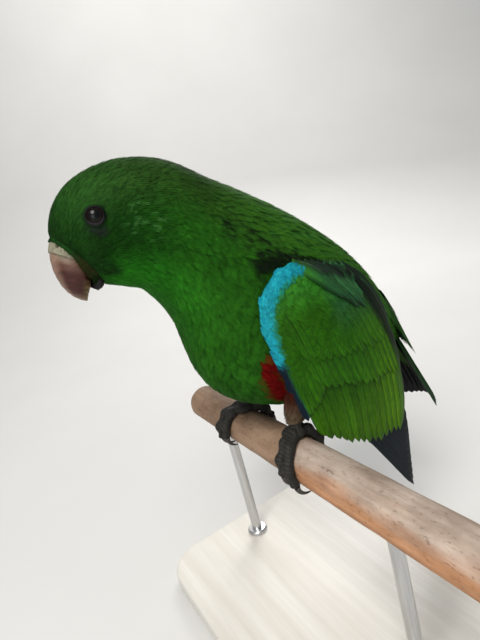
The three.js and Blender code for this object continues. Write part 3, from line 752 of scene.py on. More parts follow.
# Speckled materials: scale of their noise, darkest and lightest shade, strength and depth of their
# bump, and the shader's own values
SPECKLED = {
    "skin": (900.0, 0.7, 1.15, [(0.4, 0.2)], {"roughness": 0.8, "specular": 0.1}),
    "lid_skin": (1800.0, 0.6, 1.4, [(0.5, 0.2)], {"roughness": 0.65, "specular": 0.1}),
    "eye": (1500.0, 0.8, 1.2, [], {"roughness": 0.18, "specular": 0.20}),
}


def speckled_material(name):
    scale, darkest, lightest, bumps, values = SPECKLED[name]
    nodes = Nodes(name)
    fine = nodes.noise(nodes.place, scale)
    colour = nodes.multiply(nodes.tint, nodes.ramp(fine, (0.3, darkest), (0.7, lightest)))
    return nodes.finish(colour, *((fine, *bump) for bump in bumps), **values)


def horn_material(name, roughness):
    """Layered horn: growth lines, fine scratches and the tint of its points."""
    nodes = Nodes(name)
    place = nodes.place
    layers = nodes.noise(place, 260.0, 5.0, 0.6, stretch=(1.0, 1.0, 3.0))
    scratches = nodes.noise(place, 700.0, 3.0, 0.6, stretch=(3.0, 1.0, 0.35))
    shade = nodes.ramp(layers, (0.3, (0.72, 0.70, 0.68)), (0.72, (1.22, 1.2, 1.18)))
    return nodes.finish(nodes.multiply(nodes.tint, shade), (layers, 0.35, 0.25), (scratches, 0.25, 0.08),
                        roughness=roughness, specular=0.3)


# Scutes across the toes: how many would go round the perch, and between which distances from its
# axis the small scales give way to them
SCUTES_A_TURN = 56.0
SCUTES_FROM, SCUTES_TO = 15.6, 16.8
SCALE_SIZE = 950.0


def scaly_material(name):
    """Dry skin of small round scales, with broad scutes across the upper side of the toes."""
    nodes = Nodes(name)
    place = nodes.place
    cells = nodes.behind(place, "ShaderNodeTexVoronoi", "Distance", {"Scale": SCALE_SIZE},
                         feature="DISTANCE_TO_EDGE")
    seams = nodes.ramp(cells, (0.0, 0.45), (0.16, 1.1))
    from_axis = nodes.behind(place, "ShaderNodeVectorMath", 0, {1: tuple(BIRD_ORIGIN)},
                             operation="SUBTRACT")
    flat = nodes.behind(from_axis, "ShaderNodeVectorMath", 0, {1: (1, 0, 1)}, operation="MULTIPLY")
    length = nodes.behind(flat, "ShaderNodeVectorMath", "Value", operation="LENGTH")
    on_top = nodes.behind(length, "ShaderNodeMapRange", "Result",
                          {"From Min": SCUTES_FROM * MM, "From Max": SCUTES_TO * MM},
                          interpolation_type="SMOOTHSTEP")
    upright = nodes.behind(from_axis, "ShaderNodeMapping", 0, {"Rotation": (math.pi / 2, 0, 0)})
    turn = nodes.behind(upright, "ShaderNodeTexGradient", "Fac", gradient_type="RADIAL")
    count = nodes.behind(turn, "ShaderNodeMath", 0, {1: SCUTES_A_TURN}, operation="MULTIPLY")
    fold = nodes.behind(count, "ShaderNodeMath", 0, {1: 0.5}, operation="PINGPONG")
    bands = nodes.ramp(fold, (0.0, 0.40), (0.16, 1.1))
    scales = nodes.mix(on_top, seams, bands)
    dust = nodes.noise(place, 300.0)
    dusty = nodes.ramp(dust, (0.35, 0.8), (0.7, (1.3, 1.28, 1.24)))
    colour = nodes.multiply(nodes.multiply(nodes.tint, scales), dusty)
    return nodes.finish(colour, (scales, 0.8, 0.3), (dust, 0.3, 0.2), roughness=0.65, specular=0.2)


def wood_material():
    """Bare worn wood: grain along the perch, darker stains and worn lights."""
    nodes = Nodes("perch_wood")
    place = nodes.place
    grain = nodes.noise(place, 420.0, 6.0, 0.6, stretch=(1.0, 0.06, 1.0))
    broad = nodes.noise(place, 75.0, 5.0, 0.6, stretch=(1.0, 0.45, 1.0))
    specks = nodes.noise(place, 800.0, 3.0, 0.6, stretch=(1.0, 0.35, 1.0))
    shade = nodes.ramp(grain, (0.30, (0.82, 0.79, 0.77)), (0.70, 1.08))
    patch = nodes.ramp(broad, (0.34, (0.72, 0.68, 0.66)), (0.60, (1.12, 1.13, 1.16)))
    pits = nodes.ramp(specks, (0.30, (0.60, 0.56, 0.54)), (0.42, 1.03))
    colour = nodes.multiply(nodes.multiply(nodes.multiply(nodes.tint, shade), patch), pits)
    return nodes.finish(colour, (grain, 0.35, 0.35), (broad, 0.4, 0.8), (specks, 0.3, 0.2),
                        roughness=0.72, specular=0.3)


def lacquer_material():
    """Pale lacquered wood of the stand's base."""
    nodes = Nodes("stand_base_wood")
    grain = nodes.noise(nodes.place, 140.0, 6.0, 0.6, stretch=(1.0, 0.05, 1.0))
    colour = nodes.ramp(grain, (0.3, (0.60, 0.56, 0.50)), (0.7, (0.72, 0.69, 0.63)))
    return nodes.finish(colour, (grain, 0.15, 0.2),
                        roughness=0.4, specular=0.4, coat=0.2, coat_roughness=0.25)


def steel_material():
    nodes = Nodes("brushed_steel")
    brushing = nodes.noise(nodes.place, 900.0, 3.0, 0.6, stretch=(1.0, 1.0, 0.04))
    colour = nodes.ramp(brushing, (0.3, (0.50, 0.50, 0.51)), (0.7, 0.66))
    return nodes.finish(colour, (brushing, 0.2, 0.05), roughness=0.32, metallic=1.0)


def floor_material():
    nodes = Nodes("studio_floor")
    colour = nodes.ramp(nodes.noise(nodes.place, 3.0), (0.3, (0.60, 0.59, 0.57)), (0.7, (0.63, 0.62, 0.60)))
    return nodes.finish(colour, roughness=0.8, specular=0.2)


# A small feather's blade: its width at the root, how far down it is widest, and how much sooner its
# edges part. Its loose strips: how much shorter the outer ones are, how their lengths and their
# spread vary, where each has its neck, and its width there
BLADE_ROOT_WIDTH = 0.40
BLADE_WIDEST = 0.6
EDGE_PARTS_SOONER = 0.24
STRIP_SHORTER = 0.30
STRIP_LENGTHS = (0.86, 1.06)
STRIP_FLARES = (0.98, 1.16)
STRIP_WANDER = 0.02
STRIP_NECK = 0.55
STRIP_WIDTH = 0.62


def feather_template(strips, rows, cut, seed):
    """One flat feather: v down its shaft, u across it. Beyond the cut it parts into loose strips.
    Gives its points, faces and a random shade for each point."""
    draw = np.random.default_rng(seed)
    across = np.linspace(-1, 1, strips + 1)
    ends = cut - EDGE_PARTS_SOONER * across ** 2
    v = (np.arange(rows + 1) / rows)[:, None] * ends[None, :]
    widening = np.sin(np.clip(v / BLADE_WIDEST, 0, 1) * np.pi / 2)
    u = across[None, :] * (BLADE_ROOT_WIDTH + (1 - BLADE_ROOT_WIDTH) * widening)
    middle = (across[:-1] + across[1:]) / 2
    starts = (ends[:-1] + ends[1:]) / 2
    tips = (1 - STRIP_SHORTER * middle ** 2) * draw.uniform(*STRIP_LENGTHS, strips)
    flare = middle * draw.uniform(*STRIP_FLARES, strips) + draw.normal(0, STRIP_WANDER, strips)
    half = STRIP_WIDTH / strips
    neck_v = starts + STRIP_NECK * (tips - starts)
    neck_u = (middle + flare) / 2
    points = np.concatenate([
        np.stack([v.ravel(), u.ravel()], 1),
        np.stack([neck_v, neck_u - half], 1),
        np.stack([neck_v, neck_u + half], 1),
        np.stack([tips, flare], 1),
    ])
    strip = np.arange(strips)
    left = rows * (strips + 1) + strip
    neck_left = (rows + 1) * (strips + 1) + strip
    neck_right = neck_left + strips
    quads = np.stack([left, left + 1, neck_right, neck_left], 1)
    ends_faces = np.stack([neck_left, neck_right, neck_right + strips], 1)
    shade = draw.normal(0, 1, strips)
    edge_shade = np.interp(np.arange(strips + 1), strip + 0.5, shade)
    shades = np.concatenate([np.tile(edge_shade, rows + 1), shade, shade, shade])
    return points, [np.concatenate([grid_faces(rows + 1, strips + 1, False), quads]), ends_faces], shades


# How small feathers differ from each other: bend, roll and lift, and lift and shade of their strips
BEND = 0.007
ROLL = 0.05
LIFT = 0.5
STRIP_LIFT = 0.06
STRIP_SHADE = 0.10
# Side of the patch that one feather takes on a baked picture, the picture's margin, and the
# distance of feathers from each other on the map of their vanes
FEATHER_PATCH = 0.003
MAP_MARGIN = 0.02
VANE_PITCH = 7.0


def lay_feathers(name, surface, lie, roots, sizes, heights, area, template, tint, seed):
    """One mesh of many feathers. Roots are places on a surface, lie holds its steps per millimetre
    down and across each feather, sizes are lengths and widths, heights are those of the root, the
    tip and the fall of the sides, and area is the low corner and the span of all roots."""
    draw = np.random.default_rng(seed)
    count = len(roots)
    along, across = lie
    points, faces, shades = template
    v, u = points[:, 0][None, :], points[:, 1][None, :]
    x = v * sizes[:, :1]
    y = u * sizes[:, 1:] / 2 + draw.normal(0, BEND, (count, 1)) * x ** 2
    p = roots[:, :1] + x * along[:, :1] + y * across[:, :1]
    q = roots[:, 1:] + x * along[:, 1:] + y * across[:, 1:]
    root_height, tip_height, fall = heights
    root_height = np.broadcast_to(root_height, count)[:, None]
    tip_height = np.broadcast_to(tip_height, count)[:, None]
    roll = draw.normal(0, ROLL, (count, 1))
    lift = draw.normal(0, LIFT, (count, 1)) * fall
    height = (root_height + (tip_height - root_height) * np.clip(v, 0, 1) ** 0.8
              - fall * u ** 2 * v + (lift + STRIP_LIFT * shades[None, :]) * v + roll * y)
    co = surface(p, q, height)
    strip_shade = 1 + STRIP_SHADE * shades[None, :, None] * v[..., None]
    colours = tint(p, q, v + 0 * x, u + 0 * x, draw) * strip_shade
    offsets = (np.arange(count) * len(points))[:, None, None]
    all_faces = [(group[None] + offsets).reshape(-1, group.shape[1]) for group in faces]
    low, span = np.array(area)
    home = MAP_MARGIN + (1 - 2 * MAP_MARGIN) * (roots - low) / span
    bake = home[:, None, :] + FEATHER_PATCH * np.stack([u / 2, v - 0.5], -1)
    local = np.stack([u * sizes[:, 1:] / 2 + VANE_PITCH * np.arange(count)[:, None], x], -1)
    return add_mesh(name, to_frame(co.reshape(-1, 3)), all_faces, colours.reshape(-1, 3).clip(0, 1),
                    {"OFBake": bake.reshape(-1, 2), "Vane": local.reshape(-1, 2)})


def lie_at(turn, along_scale, across_scale):
    """Steps on a surface per millimetre down and across feathers turned from its first direction."""
    return (np.stack([np.cos(turn) / along_scale, np.sin(turn) / across_scale], 1),
            np.stack([-np.sin(turn) / along_scale, np.cos(turn) / across_scale], 1))


def one_by_one(draw, count, spread):
    """A random brightness of each feather."""
    return 1 + spread * draw.normal(0, 1, (count, 1, 1))


def too_close(p, q, reach):
    d = p - q
    return d[0] * d[0] + d[1] * d[1] + d[2] * d[2] < reach * reach


def thin_out(places, spacing, seed):
    """Numbers of places kept so that no two are closer than their spacing, in random order."""
    spacing = np.broadcast_to(spacing, len(places))
    keys = np.floor(places / spacing.max()).astype(int).tolist()
    around = [(i, j, k) for i in (-1, 0, 1) for j in (-1, 0, 1) for k in (-1, 0, 1)]
    cells, kept = {}, []
    for n in np.random.default_rng(seed).permutation(len(places)):
        a, b, c = keys[n]
        near = (m for i, j, k in around for m in cells.get((a + i, b + j, c + k), ()))
        if not any(too_close(places[n], places[m], spacing[n]) for m in near):
            cells.setdefault((a, b, c), []).append(n)
            kept.append(n)
    return np.sort(np.array(kept))


# Points further behind an eye than this don't count as round it
BEHIND_EYE = -2
NOT_ROUND_EYE = 1e3
# Where wings cover the body: heights, and distance from the middle plane
WING_COVERS = (10, 103)
WING_COVERS_FROM = 12


def eye_direction(side):
    return unit(EYE_OUTWARDS * [1, side, 1])


def eye_centre(side):
    return EYE_ON_SKIN * [1, side, 1] - EYE_DEPTH * eye_direction(side)


def eye_distance(points):
    """Distance from the nearer eye's outward axis."""
    found = []
    for side in SIDES:
        from_eye = points - eye_centre(side)
        along = from_eye @ eye_direction(side)
        away = np.linalg.norm(from_eye - along[..., None] * eye_direction(side), axis=-1)
        found.append(np.where(along > BEHIND_EYE, away, NOT_ROUND_EYE))
    return np.minimum(*found)


def wing_inset(points):
    """How far inside the wings' outline a point of the body lies in side view, on its own side."""
    x, y, z = np.moveaxis(points, -1, 0)
    turned_x, turned_z = turned_at_shoulder(x, z, -RIGHT_WING_LIFT)
    x, z = np.where(y > 0, turned_x, x), np.where(y > 0, turned_z, z)
    front, rear, _ = wing_edges(z)
    low, high = WING_COVERS
    inset = np.minimum(np.minimum(x - front, rear - x), np.minimum(high - z, z - low))
    return np.where(np.abs(y) > WING_COVERS_FROM, inset, -1.0)


# Body feathers: spacing by station, and pieces with their stations, strips, rows and cut
COAT_SPACING = ([0, 1.7, 5.2, 7, 9, 14], [0.95, 1.15, 1.5, 2.0, 2.6, 2.8])
COAT_PIECES = {
    "face": {"from": 0.02, "to": 1.7, "blade": (3, 2, 0.60)},
    "head": {"from": 1.7, "to": 5.2, "blade": (4, 2, 0.58)},
    "neck": {"from": 5.2, "to": 7.6, "blade": (6, 3, 0.62)},
    "torso": {"from": 7.6, "to": 14.3, "blade": (9, 3, 0.66)},
}
COAT_TRIES = 90000
FEATHER_LENGTH = 4.7
FEATHER_WIDTH = 1.9
BACK_LONGER = 0.25
FEATHER_VARIES = 0.12
HALF_WAY = 0.6
TIP_STRENGTH = 0.50
GAP_SHADE_STRENGTH = 0.95
FLECK_SHARE, FLECK_STRENGTH = 0.22, 0.34
LID_OVERLAP = 0.4
LID_CLEARANCE = 0.25
UNDER_WING = 9.0


def coat_spacing(station, points):
    """Distance between feather roots: smaller towards the bill and round the eyes."""
    from_lids = eye_distance(points) - LID_RADIUS
    return np.interp(station, *COAT_SPACING) * (0.62 + 0.38 * smoothstep(0.5, 6.0, from_lids))


def coat_roots(piece, seed):
    """Roots of body feathers on a stretch of the body, as stations and angles."""
    draw = np.random.default_rng(seed)
    station = draw.uniform(piece["from"], piece["to"], COAT_TRIES)
    angle = draw.uniform(0, TAU, COAT_TRIES)
    spacing = coat_spacing(station, body_point(station, angle))
    along, around = shell_scales(body_point, station, angle)
    wanted = along * around / spacing ** 2
    chosen = draw.uniform(0, wanted.max(), COAT_TRIES) < wanted
    station, angle, spacing = station[chosen], angle[chosen], spacing[chosen]
    points = body_point(station, angle)
    kept = thin_out(points, spacing, seed + 1)
    station, angle, points = station[kept], angle[kept], points[kept]
    open_skin = (eye_distance(points) > LID_RADIUS - LID_OVERLAP) & (wing_inset(points) < UNDER_WING)
    return station[open_skin], angle[open_skin]


def body_tint(station, angle, v, u, draw):
    """Colours of body feathers, taken half way down each, with painted shade at its root and edges and a
    slight painted highlight at its tip.
    """
    s = station[:, :1] + HALF_WAY * (station[:, -1:] - station[:, :1])
    a = angle[:, :1] + HALF_WAY * (angle[:, -1:] - angle[:, :1])
    count = len(station)
    points = body_point(s, a)
    base = plumage(points, s, a)
    each = one_by_one(draw, count, FEATHER_VARIES)
    mantle = smoothstep(6.2, 8.0, s) * smoothstep(0.5, 0.8, towards_back(a))
    edge = smoothstep(0.45, 1.0, np.abs(u)) * smoothstep(0.3, 0.7, v)
    # Painted shade towards the root and edges, where neighbours overlap, and a slight painted highlight at
    # the tip
    shade = 0.62 + 0.45 * smoothstep(0.05, 0.8, v) - (0.06 + 0.40 * mantle) * edge
    streaks = gap_shade_streaks(points, draw.uniform(0, 1, (count, 1)), u)
    from_ear = np.linalg.norm(folded(points) - EAR_COVERTS, axis=-1)
    fleck = draw.uniform(0, 1, (count, 1)) < FLECK_SHARE
    fleck = fleck * smoothstep(EAR_REACH, 0.5 * EAR_REACH, from_ear)
    fleck = fleck * smoothstep(0.2, 0.8, v) * smoothstep(0.85, 0.3, np.abs(u))
    return layered(base * each * shade[..., None],
                   (TIP_GREEN, TIP_STRENGTH * mantle * smoothstep(0.4, 0.9, v) * (1 - edge)),
                   # Painted shadow and dark bases in the gap over the wing
                   (GAP_SHADE_DARK, GAP_SHADE_STRENGTH * streaks),
                   (FLECK_GREEN, FLECK_STRENGTH * fleck))


def away_from_eye(station, angle):
    return eye_distance(body_point(station, angle))


def flow_round_eye(station, angle, along, around):
    """Turn of each feather from the body's own lie, so that they part ahead of the eye and pass it."""
    step = SHELL_STEP
    down = away_from_eye(station + step, angle) - away_from_eye(station - step, angle)
    aside = away_from_eye(station, angle + step) - away_from_eye(station, angle - step)
    down = np.clip(down / (2 * step * along), -1, 1)
    aside = np.clip(aside / (2 * step * around), -1, 1)
    near = np.exp(-((away_from_eye(station, angle) - LID_RADIUS) / 4.0) ** 2)
    towards = np.minimum(down, 0) * near
    return np.arctan2(-towards * aside, 1 - towards * down)


def clear_of_eye(station, angle, turn, length, along, around):
    """Lengths of feathers, cut so that none reaches over the lids."""
    for share in (1.0, 0.75, 0.5):
        reach = share * length
        tip = away_from_eye(station + reach * np.cos(turn) / along, angle + reach * np.sin(turn) / around)
        length = np.where(tip < LID_RADIUS - LID_CLEARANCE, 0.62 * length, length)
    return length


def coat_surface(station, angle, height):
    return body_point(np.minimum(station, LAST_STATION + 0.6), angle, height)


def body_coat(name, piece, seed):
    station, angle = coat_roots(piece, seed)
    draw = np.random.default_rng(seed + 2)
    count = len(station)
    points = body_point(station, angle)
    along, around = shell_scales(body_point, station, angle)
    turn = draw.normal(0, 0.12, count) + 0.22 * field_noise(points, 20.0, 5)
    turn += flow_round_eye(station, angle, along, around)
    size = coat_spacing(station, points) * draw.uniform(0.85, 1.15, count)
    back = smoothstep(0.4, 0.8, towards_back(angle))
    length = FEATHER_LENGTH * size * (1 + BACK_LONGER * back)
    length = clear_of_eye(station, angle, turn, length, along, around)
    depth = skin_depth(station) * (0.35 + 0.65 * smoothstep(0.5, 5.0, eye_distance(points) - LID_RADIUS))
    heights = (-depth - 0.3, -0.15 - 0.25 * draw.uniform(0, 1, count), 0.10 * depth.mean())
    area = ((piece["from"], 0), (piece["to"] - piece["from"], TAU))
    return lay_feathers(name, coat_surface, lie_at(turn, along, around), np.stack([station, angle], 1),
                        np.stack([length, FEATHER_WIDTH * size], 1), heights, area,
                        feather_template(*piece["blade"], seed), body_tint, seed + 3)


MUZZLE_TRIES = 16000
MUZZLE_SPACING = 0.52


def muzzle_coat():
    """Short bristly feathers that lie forwards over the cere and the base of the bill."""
    draw = np.random.default_rng(81)
    p, q = draw.uniform(-0.2, 2.4, MUZZLE_TRIES), draw.uniform(0, TAU, MUZZLE_TRIES)
    ends = np.interp(np.degrees(np.arccos(np.cos(q))), *MUZZLE_ENDS)
    kept = thin_out(muzzle_point(p, q), MUZZLE_SPACING, 82)
    kept = kept[p[kept] < ends[kept] - 0.25]
    p, q, ends = p[kept], q[kept], ends[kept]
    count = len(p)
    along, around = shell_scales(muzzle_point, p, q)
    length = draw.uniform(3.0, 4.0, count)
    room = (ends + draw.normal(0, 0.07, count) - p) * along
    sizes = np.stack([np.minimum(length, room).clip(0.6), draw.uniform(0.85, 1.1, count)], 1)
    heights = (-0.6, 0.02 + 0.06 * draw.uniform(0, 1, count), 0.05)

    def tint(p, q, v, u, draw):
        low = np.degrees(np.arccos(np.cos(q)))
        base = mix(MUZZLE_GREEN, MUZZLE_OLIVE, smoothstep(60, 95, low))
        base = mix(base, CHIN_GREEN, smoothstep(115, 150, low))
        # Painted shade towards each feather's root, a slight painted highlight at its tip
        return base * (0.8 + 0.3 * v[..., None]) * one_by_one(draw, count, 0.12)

    return lay_feathers("muzzle_feathers", muzzle_point, lie_at(draw.normal(0, 0.15, count), along, around),
                        np.stack([p, q], 1), sizes, heights, ((-0.2, 0), (3.2, TAU)),
                        feather_template(3, 2, 0.5, 83), tint, 84)


SKIN_RINGS, SKIN_SIDES = 113, 96
SKIN_VOXEL, SKIN_SMOOTHING = 1.6, 4
# Skin under the coat takes the plumage's colour darkened, as painted shade in the gaps between feathers
SKIN_PAINTED_SHADE = 0.6
LEG_ROWS, LEG_SIDES = 13, 32
SEARCH_STATIONS, SEARCH_SIDES, SEARCH_BLOCK = 57, 48, 2000
SOCKET_DEPTH = 2.4
LEG_COAT_DEPTH = 1.6


def skin_rings():
    s, a = np.meshgrid(np.linspace(0, LAST_STATION, SKIN_RINGS), circle(SKIN_SIDES), indexing="ij")
    points = body_point(s, a, -skin_depth(s))
    sink = SOCKET_DEPTH * (1 - smoothstep(LID_RADIUS, LID_RADIUS + 3.0, eye_distance(points)))
    inwards = unit(points - points.mean(1, keepdims=True))
    return points - inwards * sink[..., None]


def leg_rings(side):
    return [level_ring(x, side * FOOT_Y, z, rx - LEG_COAT_DEPTH, ry - LEG_COAT_DEPTH, LEG_SIDES)
            for x, z, rx, ry in curve_through(LEG_STATIONS)(np.linspace(0, 3, LEG_ROWS))]


def nearest_station(points):
    """Station and angle of the body nearest to given points."""
    s, a = np.meshgrid(np.linspace(0, LAST_STATION, SEARCH_STATIONS), circle(SEARCH_SIDES), indexing="ij")
    grid = body_point(s, a).reshape(-1, 3)
    blocks = np.array_split(points, math.ceil(len(points) / SEARCH_BLOCK))
    found = np.concatenate([((block[:, None] - grid[None]) ** 2).sum(-1).argmin(1) for block in blocks])
    return s.ravel()[found], a.ravel()[found]


def make_skin(material):
    parts = [closed_loft(skin_rings())] + [closed_loft(leg_rings(side)) for side in SIDES]
    skin = joined_remesh("body_skin", parts, SKIN_VOXEL, SKIN_SMOOTHING)
    points = mesh_points(skin)
    bare = 1 - smoothstep(LID_RADIUS + 1.5, LID_RADIUS + 3.0, eye_distance(points))
    # Painted shade: the plumage's colour darkened on the skin, with the gap's painted shadow, and bare dark
    # skin round the eyes
    set_tint(skin, layered(plumage(points, *nearest_station(points)) * SKIN_PAINTED_SHADE,
                           (GAP_SHADE_DARK, gap_shade_streaks(points, np.zeros(len(points)))),
                           (EYE_SKIN, bare)))
    finish_piece(skin, material, "green_plumage", "head", "neck", "torso", "leg_left", "leg_right")


LEG_TRIES = 8000
LEG_SPACING = 1.5
LEG_STATION_LENGTH = 8.0


def leg_coat(side):
    """Short feathers of one thigh."""
    draw = np.random.default_rng(61 + side)
    rows = curve_through(LEG_STATIONS)

    def surface(p, q, height):
        row = rows(np.clip(p, 0, 3.05))
        return np.stack([row[..., 0] + (row[..., 2] + height) * np.cos(q),
                         side * (FOOT_Y + (row[..., 3] + height) * np.sin(q)), row[..., 1]], -1)

    p, q = draw.uniform(0.2, 2.9, LEG_TRIES), draw.uniform(0, TAU, LEG_TRIES)
    kept = thin_out(surface(p, q, 0.0), LEG_SPACING, 5)
    p, q = p[kept], q[kept]
    count = len(p)
    row = rows(p)
    sizes = np.stack([draw.uniform(5.5, 7.5, count), draw.uniform(2.4, 3.2, count)], 1)

    def tint(p, q, v, u, draw):
        base = mix(THIGH_TOP, THIGH_LOW, smoothstep(0.6, 2.2, p))
        # Painted shade towards each feather's root, a slight painted highlight at its tip
        return base * (0.6 + 0.5 * v[..., None]) * one_by_one(draw, count, 0.2)

    lie = lie_at(draw.normal(0, 0.14, count), LEG_STATION_LENGTH, (row[:, 2] + row[:, 3]) / 2)
    return lay_feathers("thigh_feathers_" + SIDES[side], surface, lie, np.stack([p, q], 1), sizes,
                        (-LEG_COAT_DEPTH, -0.1, 0.15), ((0, 0), (3, TAU)), feather_template(4, 2, 0.6, 7),
                        tint, 62 + side)


def bezier(points, t):
    """Places and headings along a cubic curve."""
    t = np.asarray(t)[:, None]
    weights = [(1 - t) ** 3, 3 * t * (1 - t) ** 2, 3 * t ** 2 * (1 - t), t ** 3]
    slopes = [-(1 - t) ** 2, (1 - t) ** 2 - 2 * t * (1 - t), 2 * t * (1 - t) - t ** 2, t ** 2]
    place, heading = (sum(w * np.array(p, float) for w, p in zip(row, points)) for row in (weights, slopes))
    return place, unit(heading)


# Tiers of long wing feathers, outermost tiers last: courses of the first and last feather in side
# view, count, width, sag of the tips between, height of the first, step to the next, tilt, share of
# the wing's own swell that lies under them, how far their roots dip, how uneven their tips are, and
# where along the feather its tip starts to round
Tier = namedtuple("Tier", "first last count width sag level step tilt swell dip jitter round")
WING_TIERS = {
    "primaries": Tier(
        [(-5, 72), (8, 44), (42, 6), (87, -72)], [(12, 84), (24, 54), (52, 24), (73, -10)],
        10, 12.5, 0, -3.4, 0.3, 0.03, 0, 0, 1.0, 0.45),
    "secondaries": Tier(
        [(2, 74), (3, 50), (8, 30), (13, 9)], [(54, 78), (61, 57), (67, 30), (64, -10)],
        14, 11, 6.5, -0.4, 0.14, 0.1, 0, 0, 3.0, 0.72),
    "primary_coverts": Tier(
        [(-1, 80), (-2.5, 64), (-1.5, 47), (3, 24)], [(6, 84), (6, 70), (8, 54), (13, 36)],
        5, 8, 0, 0.9, 0.25, 0.06, 0, 0.5, 2.5, 0.7),
    "greater_coverts": Tier(
        [(2, 84), (5, 70), (8, 57), (13, 42)], [(50, 86), (57, 70), (64, 52), (67, 28)],
        15, 8.5, 4, 2.0, 0.05, 0.1, 0.1, 1.2, 3.5, 0.66),
    "median_coverts": Tier(
        [(-1, 92), (1, 82), (4, 72), (8, 58)], [(46, 92), (53, 80), (59, 68), (64, 50)],
        15, 8, 3, 2.2, 0.03, 0.08, 0.35, 2.2, 4.0, 0.6),
    "scapulars": Tier(
        [(14, 106), (20, 100), (28, 91), (38, 79)], [(46, 96), (54, 86), (61, 72), (66, 52)],
        9, 8.5, -2, 0.9, -0.04, 0.1, 1, 2.4, 9.0, 0.5),
}

# A long vane: rows down it, places across it, shares of its two webs, lag of the barbs behind the
# shaft, slope of the barbs on the map, raggedness of its edges, height and width of the shaft, and
# camber
VANE_ROWS = 26
VANE_ACROSS = np.array([-1, -0.78, -0.55, -0.32, -0.12, -0.03, 0.0, 0.03, 0.12, 0.32, 0.55, 0.78, 1])
OUTER_WEB, INNER_WEB = 0.40, 0.60
BARB_LAG = 0.22
BARB_SLOPE = 1.1
RAGGEDNESS = 0.004
SHAFT_HEIGHT, SHAFT_WIDTH = 0.35, 0.04
CAMBER = 0.5
Vane = namedtuple("Vane", "points faces x z span along map")


def long_vane(course, width, profile, level, tilt, surface, draw, turned=False, dip=0.0):
    """One long feather with a shaft, its places across and along, and the map of its barbs."""
    across = VANE_ACROSS[None, :]
    t = np.linspace(0, 1, VANE_ROWS) ** 0.9
    place, heading = bezier(course, t)
    notch = draw.normal(0, 1, (VANE_ROWS, 2)).cumsum(0) * RAGGEDNESS
    down = t[:, None]
    breadth = profile(down)
    offsets = across * np.where(across < 0, OUTER_WEB, INNER_WEB) * width * breadth
    rag = np.where(across < 0, notch[:, :1], notch[:, 1:])
    offsets = offsets * (1 + rag * (np.abs(across) > 0.9))
    lag = BARB_LAG * np.abs(offsets) * smoothstep(0.0, 0.5, down)
    x = place[:, :1] - heading[:, 1:] * offsets - heading[:, :1] * lag
    z = place[:, 1:] + heading[:, :1] * offsets - heading[:, 1:] * lag
    shaft = SHAFT_HEIGHT * np.exp(-(across / SHAFT_WIDTH) ** 2) * (1 - 0.75 * down)
    camber = CAMBER * (1 - across ** 2) * breadth
    height = level - tilt * offsets + camber + shaft - dip * (1 - smoothstep(0.0, 0.55, down))
    along = np.repeat(down, len(VANE_ACROSS), 1)
    length = np.linalg.norm(np.diff(place, axis=0), axis=1).sum()
    local = np.stack([offsets, along * length - BARB_SLOPE * np.abs(offsets)], -1)
    faces = grid_faces(VANE_ROWS, len(VANE_ACROSS), False)
    return Vane(surface(x, z, height).reshape(-1, 3), faces[:, ::-1] if turned else faces, x, z,
                np.repeat(across, VANE_ROWS, 0), along, local.reshape(-1, 2))


def round_tip(start, root=0.45):
    """Width along a feather: it widens from its root and rounds off from a given place."""
    def profile(t):
        end = np.clip((t - start) / (1 - start), 0, 1)
        return (root + (1 - root) * smoothstep(0, 0.4, t)) * np.sqrt(np.clip(1 - end ** 2.4, 0.0004, 1))
    return profile


def tier_courses(tier, draw):
    """Courses of a tier's feathers in side view, each a cubic curve's four points."""
    first, last = np.array(tier.first, float), np.array(tier.last, float)
    for i in range(tier.count):
        share = i / (tier.count - 1)
        course = first + (last - first) * share
        course[:, 1] -= tier.sag * math.sin(math.pi * share) * np.arange(4) / 3
        course[3, 1] += tier.jitter * draw.uniform(-0.5, 0.5)
        course[3, 0] += 0.4 * tier.jitter * draw.uniform(-0.5, 0.5)
        yield i, course


def flight_colour(tier, vane, draw):
    """Colours of long wing feathers: green outer webs, dark inner webs, yellower tips."""
    x, z, span = vane.x, vane.z, vane.span
    each = 1 + 0.10 * draw.normal()
    if tier == "primaries":
        edge = smoothstep(-0.5, -0.95, span)
        colours = mix(BLACK_FEATHER, NAVY, 0.4 + 0.6 * edge)
        return mix(colours, TEAL, 0.2 * edge * (1 - smoothstep(0.3, 0.8, vane.along))) * each
    if tier == "scapulars":
        edge = smoothstep(0.20, 0.70, np.abs(span + 0.1))
        colours = mix(WING_BRIGHT, SCAPULAR_GREY, smoothstep(14, 30, x))
        colours = colours * each * (0.6 + 0.7 * draw.uniform())
        # Black edges: partly dark inner webs, partly painted shadow of the gap along the wing's top
        return mix(colours, BLACK_FEATHER, (0.6 + 0.35 * draw.uniform()) * edge)
    outer_web = smoothstep(-0.2, -0.9, span) * smoothstep(40, 66, x) * smoothstep(70, 30, z)
    # Painted shade towards each feather's root, where the feathers above overlap it, and a slight painted
    # highlight at its tip
    painted_root_shade = 0.66 + 0.44 * smoothstep(0.3, 1.0, vane.along)
    return layered(wing_colour(x, z) * painted_root_shade[..., None] * each,
                   (BLACK_FEATHER, 0.55 * smoothstep(0.45, 0.95, span)),
                   (YELLOW_EDGE, 0.6 * outer_web),
                   (BLACK_FEATHER, 0.6 * np.exp(-(span / 0.05) ** 2)))


LONG_VANE_PITCH = 13.0
WING_VANE_THICKNESS, TAIL_VANE_THICKNESS = 0.22, 0.25


